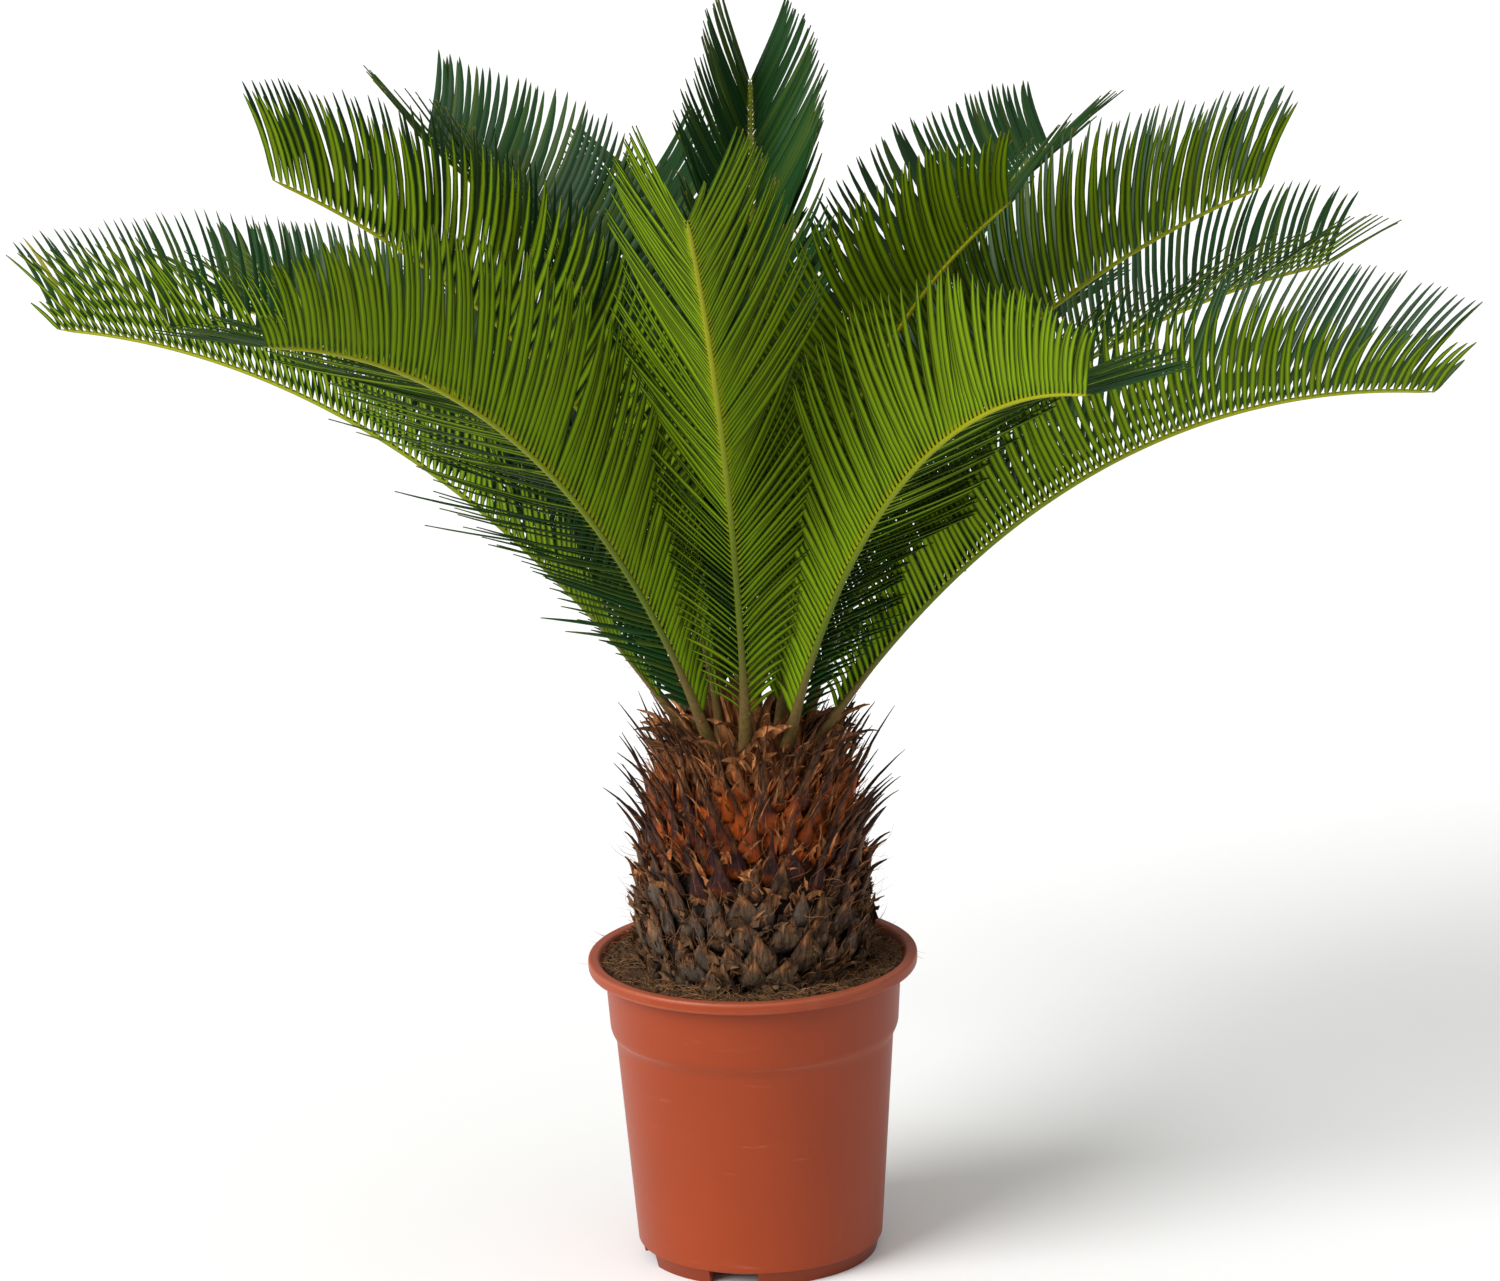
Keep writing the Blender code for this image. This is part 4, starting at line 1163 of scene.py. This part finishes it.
def leaflet_stance(frond, settings, sign, along, rng):
    """Length of each leaflet, its angle from the midrib and its lift out of the frond's plane.

    Leaflets grow to full length over the first part of the frond and shorten towards its tip, and
    their lift goes from the foot's to the full one. The angle and the lift drift a little by
    sines, and on a low side some leaflets stray out further.
    """
    foot_lift, full_lift, skew, size, opening = frond[8:13]
    count = len(along)
    lower = max(0.0, -sign * skew)
    grown = np.sin(np.minimum(1.0, along / FULL_LENGTH_SHARE) * np.pi / 2) ** 1.1
    fall = TIP_FALL * np.clip((along - 0.55) / 0.45, 0.0, 1.0) ** 1.5
    length = settings.length * size * (0.20 + 0.80 * grown) * (1.0 - fall)
    length = length * rng.uniform(0.95, 1.02, count)
    phase = rng.uniform(0.0, 6.3, 4)
    drift = np.sin(along * 23.0 + phase[0]) + np.sin(along * 41.0 + phase[1])
    waver = np.sin(along * 17.0 + phase[2]) + np.sin(along * 31.0 + phase[3])
    angle = table(along, LEAFLET_ANGLE) + opening + 0.42 * lower * (1.0 - along)
    stray = (rng.random(count) < STRAY_CHANCE) * (lower > 20.0) * (along > 0.04) * (along < 0.50)
    angle = angle + STRAY_ANGLE * stray + 1.6 * drift + rng.normal(0.0, 0.9, count)
    lifted = np.minimum(1.0, along / FULL_LIFT_SHARE)
    raised = foot_lift + (full_lift - foot_lift) * lifted + sign * skew * (1.0 - 0.4 * along)
    raised = raised + 2.6 * waver + rng.normal(0.0, 1.6, count)
    return length * (1.0 + STRAY_LENGTH * stray), angle, raised


def kept_inside(paths):
    """Paths shortened where their tips would leave the room that the solids take."""
    root, tip = paths[:, 0] + AXIS, paths[:, -1] + AXIS
    low, high = np.array(CAD_LOW) + ROOM_MARGIN, np.array(CAD_HIGH) - ROOM_MARGIN
    over = np.maximum((tip - high) / (tip - root), (low - tip) / (root - tip))
    over = np.clip(np.where((tip > high) | (tip < low), over, 0.0).max(axis=1), 0.0, 0.6)
    return paths[:, :1] + (paths - paths[:, :1]) * (1.0 - over)[:, None, None]


def leaflet_section(half):
    """A thin roof of six corners with a keel below, measured in half widths of the blade."""
    body = (BLADE_BODY / half)[..., None]
    x = np.broadcast_to([-1.0, 0.0, 1.0], (*half.shape, 3))
    roof = np.array([-0.34, 0.0, -0.34])
    low = np.stack([x, roof - np.array([1.0, 2.2, 1.0]) * body], axis=-1)
    top = np.stack([x[..., ::-1], roof + body], axis=-1)
    return np.concatenate([low, top], axis=2)


def leaflets_part(frond, settings, sign, rng):
    """All the leaflets on one side of a midrib.

    Each hooks along its length, backward near the frond's foot and forward beyond. It is turned
    about its own line: on edge near the foot and on a low side, and flatter further out.
    """
    skew, breadth = frond[10], frond[13]
    count = int(round(frond[3] * (1.0 - BARE_SHARE) / settings.pitch))
    step = (np.arange(count) + (0.25 if sign > 0 else 0.75)) / count
    along = step * (1.0 + CROWDING * (1.0 - step) ** 5)
    along = along / along.max() * 0.997
    share = BARE_SHARE + (1.0 - BARE_SHARE) * along
    place, tangent, normal, side = midrib(frond, share)
    wide, tall = midrib_size(share)
    length, angle, raised = leaflet_stance(frond, settings, sign, along, rng)
    out = turned(sign * side, normal, np.radians(raised)[:, None])[0]
    hook = (TIP_HOOK * np.clip(along / 0.24 - 1.0, -1.0, 0.6))[:, None]
    heading = np.radians(angle[:, None] + hook * (1.0 - 2.0 * LEAFLET_AT**1.3))[..., None]
    ahead = turned(tangent[:, None, :], out[:, None, :], heading)[0]
    steps = (ahead[:, 1:] + ahead[:, :-1]) / 2 * np.diff(LEAFLET_AT)[:, None]
    travel = np.cumsum(steps * length[:, None, None], axis=1)
    travel = np.concatenate([np.zeros((count, 1, 3)), travel], axis=1)
    start = place + sign * side * (0.30 * wide[:, None]) + normal * (0.12 * tall[:, None])
    paths = kept_inside(leaned(start[:, None, :] + travel))
    ahead, tangent, normal = tilted(ahead), tilted(tangent)[:, None, :], tilted(normal)[:, None, :]
    across = unit(tangent - (tangent * ahead).sum(-1, keepdims=True) * ahead)
    thick = np.cross(ahead, across)
    thick = thick * np.sign((thick * normal).sum(-1, keepdims=True).mean(axis=1, keepdims=True))
    flat = np.clip(sign * skew / 30.0, 0.0, 1.0)
    grown = np.minimum(1.0, along / FULL_LENGTH_SHARE)
    edgewise = 12.0 - 54.0 * (1.0 - grown) * (1.0 - flat)
    edgewise = edgewise - 1.25 * max(0.0, -sign * skew) * (1.0 - along)
    tilt = np.radians(edgewise + rng.normal(0.0, 7.0, count))[:, None, None]
    across, thick = turned(across, thick, tilt * (1.0 - 0.3 * LEAFLET_AT[:, None]))
    half = settings.width / 2 * breadth * (0.78 + 0.22 * grown) * (1.0 - 0.22 * along)
    half = half[:, None] * LEAFLET_TAPER * rng.uniform(0.94, 1.05, (count, 1))
    rings = tubes(paths, across, thick, leaflet_section(half), half, half)
    mirrored = np.einsum("ijk,ijk->", np.cross(across, thick), ahead) < 0.0
    spot = rng.random(count)[:, None, None]
    edge, under = [1.0, 0.0, 1.0, 1.0, 0.0, 1.0], [1.0, 1.0, 1.0, 0.0, 0.0, 0.0]
    values = {"along": LEAFLET_AT[:, None], "across": edge, "under": under, "spot": spot}
    return bodies(rings, flip=mirrored, **values)


def dress(name, parts, looks, sharp=None, instead_of=None):
    """Makes a piece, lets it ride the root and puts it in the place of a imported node."""
    piece = mesh_piece(name, parts, looks, sharp)
    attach(piece, "root")
    if instead_of:
        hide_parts(instead_of)


class BuildPot(bpy.types.Operator):
    """Builds the nursery pot with its rolled lip, shoulder and notched foot"""

    bl_idname = "sago_palm.pot"
    bl_label = "Pot"

    def execute(self, context):
        look = plastic(context.scene.sago_pot)
        dress("nursery_pot", pot_parts(), [look], 38.0, "pot")
        return {"FINISHED"}


class BuildSoil(bpy.types.Operator):
    """Builds the bed of peat with its crumbs and loose fibres"""

    bl_idname = "sago_palm.soil"
    bl_label = "Soil"

    def execute(self, context):
        settings = context.scene.sago_soil
        look = peat(settings)
        dress("peat_bed", soil_parts(settings), [look], instead_of="soil")
        dress("peat_crumbs", soil_crumbs(), [look])
        tan = straw("soil_fibre", (0.36, 0.18, 0.07), (0.055, 0.025, 0.011))
        dress("peat_fibres", soil_litter(settings), [tan])
        return {"FINISHED"}


class BuildTrunk(bpy.types.Operator):
    """Builds the trunk with its old leaf bases, papery husks, torn flakes and hairs"""

    bl_idname = "sago_palm.trunk"
    bl_label = "Trunk"

    def execute(self, context):
        settings = context.scene.sago_trunk
        dress("trunk_core", core_parts(), [bark(settings)], instead_of="trunk")
        dress("trunk_leaf_bases", base_parts(settings), [old_bases(settings)])
        paper = husks(settings)
        dress("crown_husks", crown_husks(), [paper], 50.0)
        dress("torn_flakes", torn_flakes(), [paper], 50.0)
        tan = straw("trunk_fibre", shade(settings.husk, 1.3), shade(settings.husk, 0.4))
        dress("trunk_fibres", trunk_fibres(), [tan])
        return {"FINISHED"}


class BuildFronds(bpy.types.Operator):
    """Builds every frond: its midrib and its two combs of leaflets"""

    bl_idname = "sago_palm.fronds"
    bl_label = "Fronds"

    def execute(self, context):
        settings = context.scene.sago_fronds
        looks = [leaflet_look(settings), midrib_look(settings)]
        for number, frond in enumerate(FRONDS):
            rng = np.random.default_rng(100 + number)
            parts = [leaflets_part(frond, settings, sign, rng) for sign in (1, -1)]
            parts.append(midrib_part(frond))
            dress(frond[0] + "_fine", parts, looks, 40.0, frond[0])
        return {"FINISHED"}


class BuildStage(bpy.types.Operator):
    """Sets the plain floor, the soft lights and the camera at the photograph's angle"""

    bl_idname = "sago_palm.stage"
    bl_label = "Stage"

    def execute(self, context):
        settings = context.scene.sago_stage
        scene = context.scene
        add_floor(settings)
        add_lights(settings)
        world = bpy.data.worlds.new("surround")
        world.use_nodes = True
        sky = world.node_tree.nodes["Background"].inputs
        sky["Color"].default_value = (1.0, 1.0, 1.0, 1.0)
        sky["Strength"].default_value = settings.surround
        scene.world = world
        scene.view_settings.view_transform = "Standard"
        camera = bpy.data.cameras.new("camera")
        camera.sensor_fit = "HORIZONTAL"
        camera.sensor_width = 36.0
        camera.lens = CAMERA_LENS
        camera.clip_end = 60.0
        camera_object = bpy.data.objects.new("camera", camera)
        camera_object.matrix_world = camera_matrix()
        scene.collection.objects.link(camera_object)
        scene.camera = camera_object
        return {"FINISHED"}


def camera_matrix():
    """Looks forward and down by the pitch from behind the viewer's side, rolled about its axis."""
    pitch, yaw, roll = (math.radians(a) for a in (CAMERA_PITCH, CAMERA_YAW, CAMERA_ROLL))
    forward = Vector(
        (math.sin(yaw) * math.cos(pitch), math.cos(yaw) * math.cos(pitch), -math.sin(pitch))
    )
    level = Vector((math.cos(yaw), -math.sin(yaw), 0.0))
    upright = level.cross(forward)
    right = level * math.cos(roll) + upright * math.sin(roll)
    up = upright * math.cos(roll) - level * math.sin(roll)
    place = Vector((AXIS[0], AXIS[1] - CAMERA_BACK, CAMERA_HEIGHT))
    matrix = Matrix.Identity(4)
    for column, vector in enumerate((right, up, -forward, place)):
        matrix.col[column][:3] = vector
    return matrix


def add_floor(settings):
    """A round plain floor: one flat disc with a few rings, level with the pot's foot."""
    around = np.arange(FLOOR_SIDES)
    rings = polar(np.array(FLOOR_RADII)[:, None], 360.0 / FLOOR_SIDES * around, 0.0)
    middle = (len(FLOOR_RADII) - 1) * FLOOR_SIDES + around
    faces = [*tube_faces(1, len(FLOOR_RADII), FLOOR_SIDES, closed=False), middle[None, :]]
    piece = mesh_piece("floor", [(rings.reshape(-1, 3), faces, {}, 0)], [floor_look(settings)])


def add_lights(settings):
    """Soft suns, which light the whole floor evenly: a key at the front left, a fill, one above."""
    for name, place, spread, share in LIGHTS:
        light = bpy.data.lights.new(name, "SUN")
        light.angle = math.radians(spread)
        light.energy = settings.key * share
        lamp = bpy.data.objects.new(name, light)
        lamp.location = place
        lamp.rotation_mode = "QUATERNION"
        lamp.rotation_quaternion = (-Vector(place)).to_track_quat("-Z", "Y")
        bpy.context.scene.collection.objects.link(lamp)


class SagoPalmPanel(bpy.types.Panel):
    """Lists the builders and their settings"""

    bl_idname = "VIEW3D_PT_sago_palm"
    bl_label = "Potted sago palm"
    bl_space_type = "VIEW_3D"
    bl_region_type = "UI"
    bl_category = "Sago Palm"

    def draw(self, context):
        for name, _, operator in STEPS:
            group = getattr(context.scene, name)
            box = self.layout.box()
            for key in type(group).__annotations__:
                box.prop(group, key)
            box.operator(operator.bl_idname)


STEPS = (
    ("sago_stage", StageSettings, BuildStage),
    ("sago_pot", PotSettings, BuildPot),
    ("sago_soil", SoilSettings, BuildSoil),
    ("sago_trunk", TrunkSettings, BuildTrunk),
    ("sago_fronds", FrondSettings, BuildFronds),
)


def register():
    for name, group, operator in STEPS:
        bpy.utils.register_class(group)
        bpy.utils.register_class(operator)
        setattr(bpy.types.Scene, name, PointerProperty(type=group))
    bpy.utils.register_class(SagoPalmPanel)


def unregister():
    bpy.utils.unregister_class(SagoPalmPanel)
    for name, group, operator in reversed(STEPS):
        delattr(bpy.types.Scene, name)
        bpy.utils.unregister_class(operator)
        bpy.utils.unregister_class(group)


def main():
    register()
    bpy.ops.sago_palm.stage()
    bpy.ops.sago_palm.pot()
    bpy.ops.sago_palm.soil()
    bpy.ops.sago_palm.trunk()
    bpy.ops.sago_palm.fronds()


if __name__ == "__main__":
    main()
